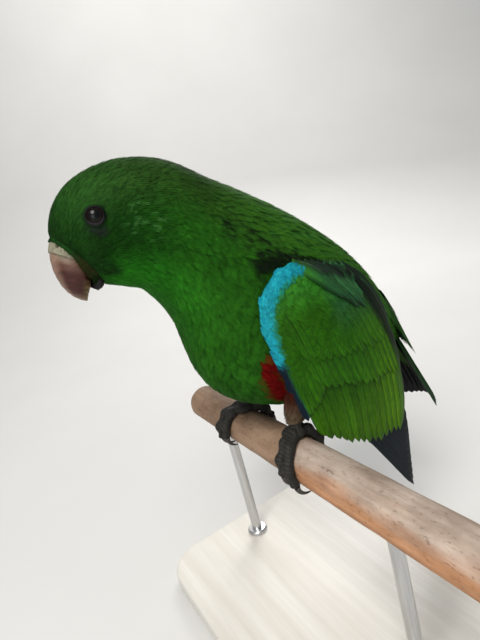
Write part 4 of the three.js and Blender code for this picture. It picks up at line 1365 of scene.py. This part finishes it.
def join_vanes(name, vanes, colours, thickness):
    """One mesh of many long feathers, with their patches side by side on the baked picture."""
    cell = 1.0 / len(vanes)
    bake = [np.stack([cell * (n + 0.05 + 0.9 * (vane.span.ravel() + 1) / 2),
                      MAP_MARGIN + (1 - 2 * MAP_MARGIN) * vane.along.ravel()], 1)
            for n, vane in enumerate(vanes)]
    local = [vane.map + [LONG_VANE_PITCH * n, 0] for n, vane in enumerate(vanes)]
    points, faces = joined([(vane.points, [vane.faces]) for vane in vanes])
    colours = np.vstack([rows.reshape(-1, 3) for rows in colours]).clip(0, 1)
    piece = add_mesh(name, to_frame(points), faces, colours,
                     {"OFBake": np.vstack(bake), "Vane": np.vstack(local)})
    solid = piece.modifiers.new("thickness", "SOLIDIFY")
    solid.thickness = thickness * MM
    solid.offset = -1
    solid.material_offset = 1
    return piece


def wing_vanes(side, materials):
    for order, (name, tier) in enumerate(WING_TIERS.items()):

        def surface(x, z, height):
            return on_side(wing_point(x, z, height + tier.swell * wing_swell(x, z)), side)

        draw = np.random.default_rng(100 * order + (7 if side > 0 else 0))
        vanes, colours = [], []
        for i, course in tier_courses(tier, draw):
            width = tier.width * (1 + 0.08 * draw.uniform(-0.5, 0.5))
            vane = long_vane(course, width, round_tip(tier.round), tier.level + tier.step * i, tier.tilt,
                             surface, draw, turned=side < 0, dip=tier.dip)
            vanes.append(vane)
            colours.append(flight_colour(name, vane, draw))
        piece = join_vanes(f"{name}_{SIDES[side]}", vanes, colours, WING_VANE_THICKNESS)
        finish_piece(piece, materials, "wing_feathers")


# Core of the wing: its top and bottom, inset of its edges, and its depth inwards by height
CORE_TOP, CORE_BOTTOM = 103.5, 48
CORE_ROWS, CORE_COLUMNS = 24, 20
CORE_INSET = 1.6
CORE_DEPTH = ([48, 55, 64, 80, 96, 104], [3, 6, 8, 9, 8, 3])
COAT_OVER_CORE = 1.5


def wing_core(side, material):
    """The wing's flesh and bases of its small coverts, as a closed shell under the coat."""
    u = np.concatenate([np.linspace(0, 1, CORE_COLUMNS), np.linspace(1, 0, CORE_COLUMNS)[1:-1]])
    outer = np.arange(len(u)) < CORE_COLUMNS
    rings = []
    for z in np.linspace(CORE_TOP, CORE_BOTTOM, CORE_ROWS):
        front, rear, swell = wing_edges(z)
        x = front + CORE_INSET + (rear - front - 2 * CORE_INSET) * u
        depth = np.where(outer, swell - COAT_OVER_CORE, -np.interp(z, *CORE_DEPTH))
        height = np.sin(np.pi * u) ** 0.6 * depth
        rings.append(wing_point(x, np.full(len(u), z), height))
    points, faces = closed_loft(rings)
    # The core takes the coverts' colour at half, as painted shade under the coat
    piece = closed_mesh("wing_core_" + SIDES[side], to_frame(on_side(points, side)), faces,
                        wing_colour(points[:, 0], points[:, 2]) * 0.5)
    finish_piece(piece, material, "wing_feathers", "wing_" + SIDES[side])


COVERT_TRIES = 50000
COVERT_BOX = ((-13, 66), (44, 105.5))
COVERT_FRONT, COVERT_REAR = 0.3, 3
BLUE_WIDTH = 9
COVERT_AIM = ([44, 80, 105], [-80, -62, -50])
COVERT_SPACING = 2.2
BLUE_SPACING = 1.5
BLUE_AIM_OUT = 0.3


def covert_aim(z, place, away, draw):
    """Side-view direction of small coverts: down the wing, and along its front edge near the blue."""
    aim = np.radians(np.interp(z, *COVERT_AIM) + draw.normal(0, 7, len(z)))
    edge_line = curve_through(BLUE_LINE)
    last = len(BLUE_LINE) - 1
    ahead = edge_line(np.clip(place + 0.15, 0, last)) - edge_line(np.clip(place - 0.15, 0, last))
    edge_aim = np.arctan2(ahead[:, 1], ahead[:, 0])
    edge_aim = np.where(edge_aim > 0, edge_aim - TAU, edge_aim) + BLUE_AIM_OUT
    near = smoothstep(10, 4, away)
    return aim * (1 - near) + edge_aim * near


def wing_coat(side, material):
    """Small coverts of one wing, and the blue ones along its front edge."""
    draw = np.random.default_rng(301)
    z = draw.uniform(*COVERT_BOX[1], COVERT_TRIES)
    x = draw.uniform(*COVERT_BOX[0], COVERT_TRIES)
    front, rear, _ = wing_edges(z)
    lower_end = 60 + 0.10 * x - 12 * (x < front + 8)
    inside = (x > front - COVERT_FRONT) & (x < rear - COVERT_REAR) & (z > lower_end)
    x, z = x[inside], z[inside]
    away, place = side_line(x, z, BLUE_LINE)
    spacing = np.where(away < BLUE_WIDTH, BLUE_SPACING, COVERT_SPACING)
    kept = thin_out(wing_point(x, z, wing_swell(x, z)), spacing, 302)
    x, z, away, place, spacing = (row[kept] for row in (x, z, away, place, spacing))
    count = len(x)
    along, across = lie_at(covert_aim(z, place, away, draw), 1.0, 1.0)
    length = spacing * draw.uniform(3.8, 4.8, count)
    sizes = np.stack([length, spacing * draw.uniform(1.8, 2.2, count)], 1)
    heights = (-1.0, 0.15 + 0.25 * draw.uniform(0, 1, count), 0.15)

    def surface(p, q, height):
        return on_side(wing_point(p, q, wing_swell(p, q) + height), side)

    def tint(p, q, v, u, draw):
        half_way = 0.55 * length[:, None]
        base = wing_colour(p[:, :1] + half_way * along[:, :1], q[:, :1] + half_way * along[:, 1:])
        # Painted shade towards the root and edges of each covert, a slight painted highlight at its tip
        shade = 0.68 + 0.38 * smoothstep(0.1, 0.8, v) - 0.08 * smoothstep(0.6, 1, np.abs(u))
        return base * one_by_one(draw, count, 0.10) * shade[..., None]

    piece = lay_feathers("small_coverts_" + SIDES[side], surface, (along, across), np.stack([x, z], 1),
                         sizes, heights, ((-13, 44), (80, 62)), feather_template(6, 3, 0.64, 11), tint, 303)
    finish_piece(piece, material, "wing_feathers")


TAIL_SIDE_COUNT = 6
TAIL_FEATHER_WIDTH = 11.5
TAIL_ROOT_SPREAD = 10.0
TAIL_TIP_SPREAD = 17.5
TAIL_LENGTH = 84.0
TAIL_OUTER_SHORTER = 5.0
TAIL_STEP = 0.85


def tail_vanes(materials):
    vanes, colours = [], []
    draw = np.random.default_rng(401)
    for index in range(TAIL_SIDE_COUNT):
        for side in (1, -1):
            share = (index + 0.5) / TAIL_SIDE_COUNT
            root, tip = side * TAIL_ROOT_SPREAD * share, side * TAIL_TIP_SPREAD * share
            length = TAIL_LENGTH - TAIL_OUTER_SHORTER * share ** 2 + draw.uniform(-0.5, 0.5)
            course = [(root, 0), (root + (tip - root) * 0.25, length / 3),
                      (root + (tip - root) * 0.7, length * 2 / 3), (tip, length)]
            level = -TAIL_STEP * (index + (0 if side > 0 else 0.5)) - 0.4
            vane = long_vane(course, TAIL_FEATHER_WIDTH, round_tip(0.88), level, 0.0, tail_point, draw)
            vanes.append(vane)
            green = np.array(TAIL_GREEN) * (1 + 0.1 * draw.normal())
            dark_web = 0.9 * smoothstep(1, 4, index) * smoothstep(-0.9, -0.6, vane.span * side)
            tip_weight = smoothstep(0.93, 1.0, vane.along)
            colours.append(layered(green, (BLACK_FEATHER, dark_web), (TAIL_TIP, tip_weight)))
    piece = join_vanes("tail_feathers", vanes, colours, TAIL_VANE_THICKNESS)
    finish_piece(piece, materials, "tail_feathers", "tail")


# Tail coverts: side of the tail, level, end of their roots and colour
TAIL_COVERTS = {
    "upper_tail_coverts": (1, 0.8, 20, UPPER_COVERT_GREEN),
    "under_tail_coverts": (-1, -7.0, 26, UNDER_COVERT_GREEN),
}
TAIL_COVERT_TRIES = 900
TAIL_COVERT_SPACING = 3.4
TAIL_COVERT_SWELL = ([-14, 4, 22, 36, 60], [7.0, 5.5, 2.8, 1.0, 0.2])
TAIL_COVERT_HALF_WIDTH = 19
TAIL_COVERT_AREA = ((-15.36, -16.8), (30.72, 57.6))


def tail_coverts(material):
    """Coverts above and below the tail's root, lying over its feathers."""
    draw = np.random.default_rng(411)
    for name, (sign, level, end, green) in TAIL_COVERTS.items():
        v = draw.uniform(-12, end, TAIL_COVERT_TRIES)
        u = draw.uniform(-15, 15, TAIL_COVERT_TRIES)
        kept = thin_out(tail_point(u, v), TAIL_COVERT_SPACING, 412)
        u, v = u[kept], v[kept]
        count = len(u)
        turn = math.pi / 2 + draw.normal(0, 0.10, count) - 0.012 * u
        sizes = np.stack([draw.uniform(15, 20, count), draw.uniform(8, 10, count)], 1)

        def surface(p, q, height):
            dome = np.sqrt(np.clip(1 - (p / TAIL_COVERT_HALF_WIDTH) ** 2, 0, 1))
            return tail_point(p, q, height + sign * np.interp(q, *TAIL_COVERT_SWELL) * dome)

        def tint(p, q, v, u, draw):
            # Painted shade towards each covert's root, a slight painted highlight at its tip
            shade = 0.6 + 0.5 * smoothstep(0.1, 0.9, v)
            return green * one_by_one(draw, count, 0.12) * shade[..., None]

        piece = lay_feathers(name, surface, lie_at(turn, 1.0, 1.0), np.stack([u, v], 1), sizes,
                             (level - sign, level + 0.6 * sign, 0.4 * sign), TAIL_COVERT_AREA,
                             feather_template(9, 4, 0.66, 13), tint, 413)
        finish_piece(piece, material, "tail_feathers")


def horn_rings(stations, rows, sides, pinch):
    """Rings along a bill from its stations, narrower on the ridge than at the cutting edge."""
    table = curve_through(stations)(np.linspace(0, len(stations) - 1, rows))
    turn = circle(sides)
    rings = []
    for top_x, top_z, low_x, low_z, width in table:
        middle = np.array([(top_x + low_x) / 2, 0, (top_z + low_z) / 2])
        half = np.array([(top_x - low_x) / 2, 0, (top_z - low_z) / 2])
        across = width * np.sin(turn) * (1 - pinch * np.cos(turn))
        rings.append(middle + half * np.cos(turn)[:, None] + across[:, None] * [0, 1, 0])
    return rings


BILL_ROWS, BILL_SIDES = 44, 64
GROWTH_RIDGES = 46
RIDGE_HEIGHT = 0.10
LOWER_RIM_HEIGHTS = (119.0, 117.0)


def make_bill():
    points, faces = closed_loft(horn_rings(UPPER_BILL_STATIONS, BILL_ROWS, BILL_SIDES, 0.12))
    t = np.concatenate([np.repeat(np.linspace(0, 1, BILL_ROWS), BILL_SIDES), [0, 1]])
    ridge = np.cos(np.concatenate([np.tile(circle(BILL_SIDES), BILL_ROWS), [0, 0]]))
    ridges = RIDGE_HEIGHT * np.sin(t * GROWTH_RIDGES + 2.0 * field_noise(points, 6.0, 2))
    points = points + unit(points - points.mean(0)) * (ridges * (t > 0.03) * (t < 0.9))[:, None]
    to_edge = smoothstep(-0.2, -0.95, ridge)
    colours = layered(
        HORN_ROOT,
        (HORN_MIDDLE, smoothstep(0.04, 0.35, t) * (1 - smoothstep(0.6, 0.9, t))),
        (HORN_EDGE_ROOT, 0.9 * to_edge * (1 - smoothstep(0.1, 0.4, t))),
        (HORN_EDGE, 0.85 * to_edge * smoothstep(0.25, 0.5, t)),
        (HORN_UNDER_CERE, 0.7 * (1 - smoothstep(0.06, 0.20, t)) * smoothstep(-0.3, 0.5, ridge)),
        (HORN_TIP, smoothstep(0.75, 0.97, t)),
        (CULMEN, 0.75 * smoothstep(0.55, 1.0, ridge)))
    upper = closed_mesh("bill_upper_horn", to_frame(points), faces, colours)
    finish_piece(upper, horn_material("upper_horn", 0.42), "upper_bill", "bill_upper")

    points, faces = closed_loft(horn_rings(LOWER_BILL_STATIONS, 24, 48, -0.1))
    colours = mix(LOWER_HORN, LOWER_HORN_RIM, smoothstep(*LOWER_RIM_HEIGHTS, points[:, 2]))
    lower = closed_mesh("bill_lower_horn", to_frame(points), faces, colours)
    finish_piece(lower, horn_material("lower_horn", 0.62), "lower_bill", "bill_lower")


def make_cere(material):
    points, faces = closed_loft(horn_rings(CERE_STATIONS, 15, 96, 0.0))
    away = np.linalg.norm(folded(points) - NOSTRIL_PLACE, axis=1)
    pits = 1 - smoothstep(0.55 * NOSTRIL_RADIUS, 1.2 * NOSTRIL_RADIUS, away)
    points = points + unit(CERE_CENTRE - points) * (NOSTRIL_DEPTH * pits)[:, None]
    colours = layered(CERE, (NOSTRIL, pits), (CERE_GAPE, 0.8 * smoothstep(138, 131, points[:, 2])))
    colours = colours * (1 + 0.25 * field_noise(points, 1.6, 4))[:, None]
    cere = closed_mesh("cere_skin", to_frame(points), faces, colours)
    finish_piece(cere, material, "cere_skin", "cere")


EYE_SIDES = 64
BALL_TILTS = np.linspace(0.02, math.pi * 0.62, 34)
PUPIL_EDGE = (2.5, 2.9)
IRIS_EDGE = (3.2, 3.9)
LID_SQUEEZE = 0.07


def eye_axes(side):
    """Centre of an eye, its outward direction, and directions round it."""
    out = eye_direction(side)
    up = unit(np.array([0.0, 0, 1.0]) - out * out[2])
    turn = circle(EYE_SIDES)
    return eye_centre(side), out, np.cos(turn)[:, None] * np.cross(up, out) + np.sin(turn)[:, None] * up


def make_eye(side, material):
    centre, out, around = eye_axes(side)
    back = EYE_APEX - EYE_RADIUS
    rings = [centre + around * EYE_RADIUS * math.sin(a) + out * (back + EYE_RADIUS * math.cos(a))
             for a in BALL_TILTS]
    points, faces = closed_loft(rings)
    from_axis = np.linalg.norm(np.cross(points - centre, out), axis=1)
    colours = layered(PUPIL, (IRIS, smoothstep(*PUPIL_EDGE, from_axis)),
                      (IRIS_RIM, smoothstep(*IRIS_EDGE, from_axis)))
    ball = closed_mesh("eye_ball_" + SIDES[side], to_frame(points), faces, colours)
    finish_piece(ball, material, "eye", "eye_" + SIDES[side])


def make_lids(side, material):
    """Beaded lids round the eye, and the folds of bare skin outside them."""
    centre, out, around = eye_axes(side)
    turn = circle(EYE_SIDES)
    rows = []
    for k, (radius, height) in enumerate(LID_PROFILE):
        beads = 0.10 * np.sin(turn * 34 + k) * (k in (1, 2, 3))
        folds = 0.12 * np.sin(turn * 17 + 2.0 * k) * (k > 3)
        squeeze = 1 - LID_SQUEEZE * np.abs(np.sin(turn)) * (k < 4)
        rows.append(centre + around * (radius * squeeze)[:, None] + out * (height + beads + folds)[:, None])
    level = np.repeat(np.arange(len(LID_PROFILE)), EYE_SIDES)
    below = smoothstep(0.0, -0.9, np.tile(np.sin(turn), len(LID_PROFILE)))
    colours = layered(EYE_SKIN, (LOWER_LID, (level > 1) * (level < 5) * below),
                      (LID_FEATHER, smoothstep(3.5, 5.0, level)))
    lids = add_mesh("eyelids_" + SIDES[side], to_frame(np.vstack(rows)),
                    [grid_faces(len(LID_PROFILE), EYE_SIDES, True)], colours)
    finish_piece(lids, material, "green_plumage")


def tube_rings(angles, lifts, ys, radii, sides):
    """Rings of a tube over the perch: angles from its top, forwards positive, and lifts from its axis."""
    turn = circle(sides)
    rings = []
    for angle, lift, y, radius in zip(angles, lifts, ys, radii):
        outwards = np.array([-math.sin(angle), 0, math.cos(angle)])
        rings.append(outwards * lift + [0, y, 0] + np.cos(turn)[:, None] * outwards * radius
                     + np.sin(turn)[:, None] * np.array([0, radius, 0]))
    return rings


TOE_ROWS, TOE_SIDES = 40, 24
TOE_PADS, PAD_SWELL = 3, 0.45
TOE_SCUTES, SCUTE_HEIGHT = 15, 0.16
TOE_END_TAPER = 0.55


def toe_rings(toe, side):
    t = np.linspace(0, 1, TOE_ROWS)
    pads = PAD_SWELL * np.cos(TOE_PADS * TAU * t) * (t > 0.04) * (t < 0.97)
    end = 1 - TOE_END_TAPER * smoothstep(0.93, 1.0, t)
    radii = (TOE_ROOT_RADIUS + (TOE_TIP_RADIUS - TOE_ROOT_RADIUS) * t + pads) * end
    angles = np.radians(toe["end"] * t)
    ys = side * (FOOT_Y - toe["drift"] * np.sqrt(t))
    rings = tube_rings(angles, PERCH_REACH + radii * 0.97, ys, radii, TOE_SIDES)
    scutes = SCUTE_HEIGHT * np.abs(np.sin(t * math.pi * TOE_SCUTES))
    upper = smoothstep(0.1, 0.8, np.cos(circle(TOE_SIDES)))
    return [ring + unit(ring - ring.mean(0)) * (upper * s)[:, None] for ring, s in zip(rings, scutes)]


PALM_RADIUS = 6.8
PALM_HEIGHT = 3.2
PALM_LIFT = 2.6
PALM_CLEARANCE = 0.2
FOOT_VOXEL, FOOT_SMOOTHING = 0.45, 2
SOLE_FROM_AXIS = (14.5, 12.4)


def foot_parts(side):
    """Closed bodies of one foot: its shank, its palm and its toes."""
    y = side * FOOT_Y
    shank = [level_ring(x, y, z, r, r, TOE_SIDES)
             for x, z, r in curve_through(TARSUS_STATIONS)(np.linspace(0, 3, 16))]
    palm = []
    for a in np.linspace(0.05, math.pi - 0.05, 16):
        radius, height = PALM_RADIUS * math.sin(a), PALM_LIFT + PALM_HEIGHT * math.cos(a)
        ring = level_ring(0, y, PERCH_REACH + height, radius, radius, TOE_SIDES)
        short = PERCH_REACH + PALM_CLEARANCE - np.hypot(ring[:, 0], ring[:, 2]).min()
        palm.append(ring + [0, 0, max(0.0, short)])
    return [closed_loft(rings) for rings in (shank, palm, *(toe_rings(toe, side) for toe in TOES.values()))]


def make_feet():
    material = scaly_material("foot_scales")
    horn = horn_material("claw_horn", 0.35)
    for side, word in SIDES.items():
        foot = joined_remesh("foot_skin_" + word, foot_parts(side), FOOT_VOXEL, FOOT_SMOOTHING)
        points = mesh_points(foot)
        sole = smoothstep(*SOLE_FROM_AXIS, np.hypot(points[:, 0], points[:, 2]))
        set_tint(foot, mix(FOOT_SKIN, FOOT_SOLE, 0.6 * sole))
        finish_piece(foot, material, "foot_skin", "foot_" + word)
        for name, toe in TOES.items():
            make_claw(f"{name}_{word}", toe, side, horn)


CLAW_ROWS, CLAW_SIDES = 22, 20
CLAW_TIP_LIFT = 0.8
CLAW_ARCH = 0.8
CLAW_START = 0.6


def make_claw(name, toe, side, material):
    way = math.copysign(1, toe["end"])
    t = np.linspace(0, 1, CLAW_ROWS)
    radii = CLAW_ROOT_RADIUS + (CLAW_TIP_RADIUS - CLAW_ROOT_RADIUS) * t ** 0.9
    lifts = PERCH_REACH + TOE_TIP_RADIUS + (CLAW_TIP_LIFT - TOE_TIP_RADIUS) * t ** 2
    lifts = lifts + CLAW_ARCH * np.sin(math.pi * t)
    angles = np.radians(toe["end"] + way * (CLAW_START + toe["claw"] * t))
    ys = np.full(CLAW_ROWS, side * (FOOT_Y - toe["drift"]))
    points, faces = closed_loft(tube_rings(angles, lifts, ys, radii, CLAW_SIDES))
    along = np.concatenate([np.repeat(t, CLAW_SIDES), [0, 1]])
    claw = closed_mesh("claw_horn_" + name, to_frame(points), faces, mix(CLAW_ROOT, CLAW_TIP, along))
    finish_piece(claw, material, "claw", "claw_" + name)


PERCH_SIDES, PERCH_ROWS = 72, 90
PERCH_EDGE, PERCH_EDGE_WIDTH = 1.2, 1.6
PERCH_INSET = 0.05
DENT_DEPTH = 0.7
DARKER_PART_FROM, DARKER_PART_TO = -42, -26


def make_perch():
    turn = circle(PERCH_SIDES)
    rings = []
    for y in PERCH_NEAR_END + PERCH_LENGTH * np.linspace(0, 1, PERCH_ROWS):
        from_end = min(y - PERCH_NEAR_END, PERCH_NEAR_END + PERCH_LENGTH - y)
        radius = PERCH_RADIUS - PERCH_EDGE * (1 - smoothstep(0, PERCH_EDGE_WIDTH, from_end)) - PERCH_INSET
        rings.append(np.stack([radius * np.sin(turn), np.full(PERCH_SIDES, y), radius * np.cos(turn)], 1))
    points, faces = closed_loft(rings)
    dents = np.clip(field_noise(points * [1, 0.22, 1], 6.0, 6), 0, 1)
    points = points - unit(points * [1, 0, 1]) * (DENT_DEPTH * dents)[:, None]
    streaks = field_noise(points * [1, 0.16, 1], 4.0, 9)
    # Painted light: the wood turns paler and greyer towards the top
    top = smoothstep(0.0, 0.95, points[:, 2] / PERCH_RADIUS + 0.35 * streaks)
    bare = mix(WOOD_SIDE, WOOD_LIT_TOP, top) * (1 + 0.12 * streaks)[:, None]
    # Darker from about the bird's near foot to the perch's far end
    darker_part = smoothstep(DARKER_PART_FROM, DARKER_PART_TO, points[:, 1] + 5 * field_noise(points, 9.0, 8))
    perch = closed_mesh("perch_wood", to_frame(points), faces, mix(bare, WOOD_DARKER_PART, 0.95 * darker_part))
    finish_piece(perch, wood_material(), "perch_wood", "perch")


# Stand, in metres: the base's corners and rounded edge, and each collar's radii and heights
BASE_CORNER, BASE_EDGE = 0.024, 0.0018
BASE_CORNER_SIDES, BASE_EDGE_ROWS = 10, 6
BASE_SOFTNESS = 0.0004
ROD_SIDES = 48
ROD_TOP_GAP = 0.0002
ROD_SOFTNESS = 0.0003
COLLAR = [(0.0072, 0.0), (0.0072, 0.0016), (0.0064, 0.0026), (0.0037, 0.0028)]


def base_rings():
    """Rings of a flat slab with round corners and rounded edges."""
    low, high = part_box("stand_base")
    middle_x, middle_y = (low.x + high.x) / 2, (low.y + high.y) / 2
    profile = [(BASE_EDGE * (1 - math.sin(a)), BASE_EDGE * (1 - math.cos(a)))
               for a in np.linspace(0, math.pi / 2, BASE_EDGE_ROWS)]
    steps = [(low.z + up, inset) for inset, up in profile]
    steps += [(high.z - up, inset) for inset, up in reversed(profile)]
    rings = []
    for z, inset in steps:
        ring = []
        for quarter, (sign_x, sign_y) in enumerate(((1, 1), (-1, 1), (-1, -1), (1, -1))):
            corner_x = middle_x + sign_x * ((high.x - low.x) / 2 - BASE_CORNER)
            corner_y = middle_y + sign_y * ((high.y - low.y) / 2 - BASE_CORNER)
            for turn in quarter * math.pi / 2 + np.linspace(0, math.pi / 2, BASE_CORNER_SIDES):
                reach = BASE_CORNER - inset
                ring.append((corner_x + reach * math.cos(turn), corner_y + reach * math.sin(turn), z))
        rings.append(ring)
    return rings


def make_stand():
    base = closed_mesh("stand_plinth", *closed_loft(base_rings()), smooth=False)
    base.modifiers.new("soften", "BEVEL").width = BASE_SOFTNESS
    finish_piece(base, lacquer_material(), "stand_base", "stand_base")
    steel = steel_material()
    for word in ("near", "far"):
        low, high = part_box("stand_rod_" + word)
        x, y, radius = (low.x + high.x) / 2, (low.y + high.y) / 2, (high.x - low.x) / 2
        top = high.z - ROD_TOP_GAP
        rod = [level_ring(x, y, z, radius, radius, ROD_SIDES) for z in (low.z, (low.z + top) / 2, top)]
        collar = [level_ring(x, y, low.z + z, r, r, ROD_SIDES) for r, z in COLLAR]
        piece = closed_mesh("rod_" + word, *joined([closed_loft(rod), closed_loft(collar)]))
        soften = piece.modifiers.new("soften", "BEVEL")
        soften.width = ROD_SOFTNESS
        soften.harden_normals = True
        finish_piece(piece, steel, "stand_rod", "stand_rod_" + word)


# Studio, in metres: half width of the floor, where it starts to rise, how it curves and how high
FLOOR_REACH = 3.0
BACKDROP_DISTANCE = 0.7
BACKDROP_CURVE = 1.3
BACKDROP_HEIGHT = 2.2
BACKDROP_HEADING = Vector((0.4310, 0.8658)).normalized()


def make_floor():
    path = [(-FLOOR_REACH, 0.0)]
    path += [(BACKDROP_DISTANCE + BACKDROP_CURVE * math.sin(a), BACKDROP_CURVE * (1 - math.cos(a)))
             for a in np.linspace(0, math.pi / 2, 40)]
    path += [(BACKDROP_DISTANCE + BACKDROP_CURVE, BACKDROP_HEIGHT)]
    side = Vector((-BACKDROP_HEADING.y, BACKDROP_HEADING.x))
    spots = [(*(BACKDROP_HEADING * forward + side * across), z)
             for forward, z in path for across in (-FLOOR_REACH, FLOOR_REACH)]
    floor = add_mesh("studio_floor", np.array(spots), [grid_faces(len(path), 2, False)])
    floor.data.materials.append(floor_material())


# Lamps, in metres and watts: place, target if not the bird, size, power and colour
BIRD_MIDDLE = to_frame((10, 0, 80))
LAMPS = {
    "key": ((-0.55, -0.55, 1.15), BIRD_MIDDLE, 0.7, 15.0, (1.0, 0.98, 0.95)),
    "fill": ((-0.9, -0.9, 0.35), BIRD_MIDDLE, 0.9, 4.5, (0.95, 0.98, 1.0)),
    "rim": ((0.7, 0.8, 0.9), BIRD_MIDDLE, 0.6, 7.0, (1.0, 1.0, 1.0)),
    "backdrop": ((0.45, 0.9, 1.9), (1.0, 2.0, 0.9), 1.2, 22.0, (1.0, 0.99, 0.97)),
}
SKY = (0.82, 0.86, 0.9, 1)
SKY_STRENGTH = 0.4


def make_lights():
    for name, (place, target, size, power, colour) in LAMPS.items():
        light = bpy.data.lights.new(name, "AREA")
        light.shape = "DISK"
        light.size = size
        light.energy = power
        light.color = colour
        lamp = bpy.data.objects.new(name, light)
        lamp.location = place
        lamp.rotation_mode = "QUATERNION"
        lamp.rotation_quaternion = (Vector(target) - Vector(place)).to_track_quat("-Z", "Y")
        bpy.context.scene.collection.objects.link(lamp)
    world = bpy.data.worlds.new("studio")
    world.use_nodes = True
    background = world.node_tree.nodes["Background"].inputs
    background["Color"].default_value = SKY
    background["Strength"].default_value = SKY_STRENGTH
    bpy.context.scene.world = world
    bpy.context.scene.view_settings.view_transform = "Standard"


def make_camera():
    camera = bpy.data.cameras.new("camera")
    camera.sensor_width = SENSOR
    camera.lens = FOCAL_PIXELS / max(FRAME_PIXELS) * SENSOR
    camera.clip_start = 0.01
    viewer = bpy.data.objects.new("camera", camera)
    down = CAMERA_DOWN.normalized()
    right = (CAMERA_RIGHT - CAMERA_RIGHT.dot(down) * down).normalized()
    backwards = right.cross(-down)
    turn = Matrix((right, -down, backwards)).transposed()
    viewer.matrix_world = Matrix.Translation(Vector(to_frame(CAMERA_PLACE))) @ turn.to_4x4()
    bpy.context.scene.collection.objects.link(viewer)
    bpy.context.scene.camera = viewer


def make_bird():
    skin = speckled_material("skin")
    plume = feather_material("body_feathers", SMALL_BARBS, 0.5, 0.75, 0.05)
    coverts = feather_material("small_coverts", SMALL_BARBS, 0.8, 0.65, 0.08)
    vanes = (feather_material("wing_vanes", LONG_BARBS, 1.0, 0.55, 0.08), dark_vane_material())
    eye, lids = speckled_material("eye"), speckled_material("lid_skin")
    make_skin(skin)
    for seed, (name, piece) in enumerate(COAT_PIECES.items()):
        finish_piece(body_coat("plumage_" + name, piece, 10 * seed + 1), plume, "green_plumage")
    finish_piece(muzzle_coat(), plume, "green_plumage")
    for side in SIDES:
        finish_piece(leg_coat(side), plume, "green_plumage")
        wing_core(side, skin)
        wing_coat(side, coverts)
        wing_vanes(side, vanes)
    tail_vanes(vanes)
    tail_coverts(plume)
    make_bill()
    make_cere(skin)
    for side in SIDES:
        make_eye(side, eye)
        make_lids(side, lids)
    make_feet()


make_camera()
make_bird()
make_perch()
make_stand()
make_floor()
make_lights()
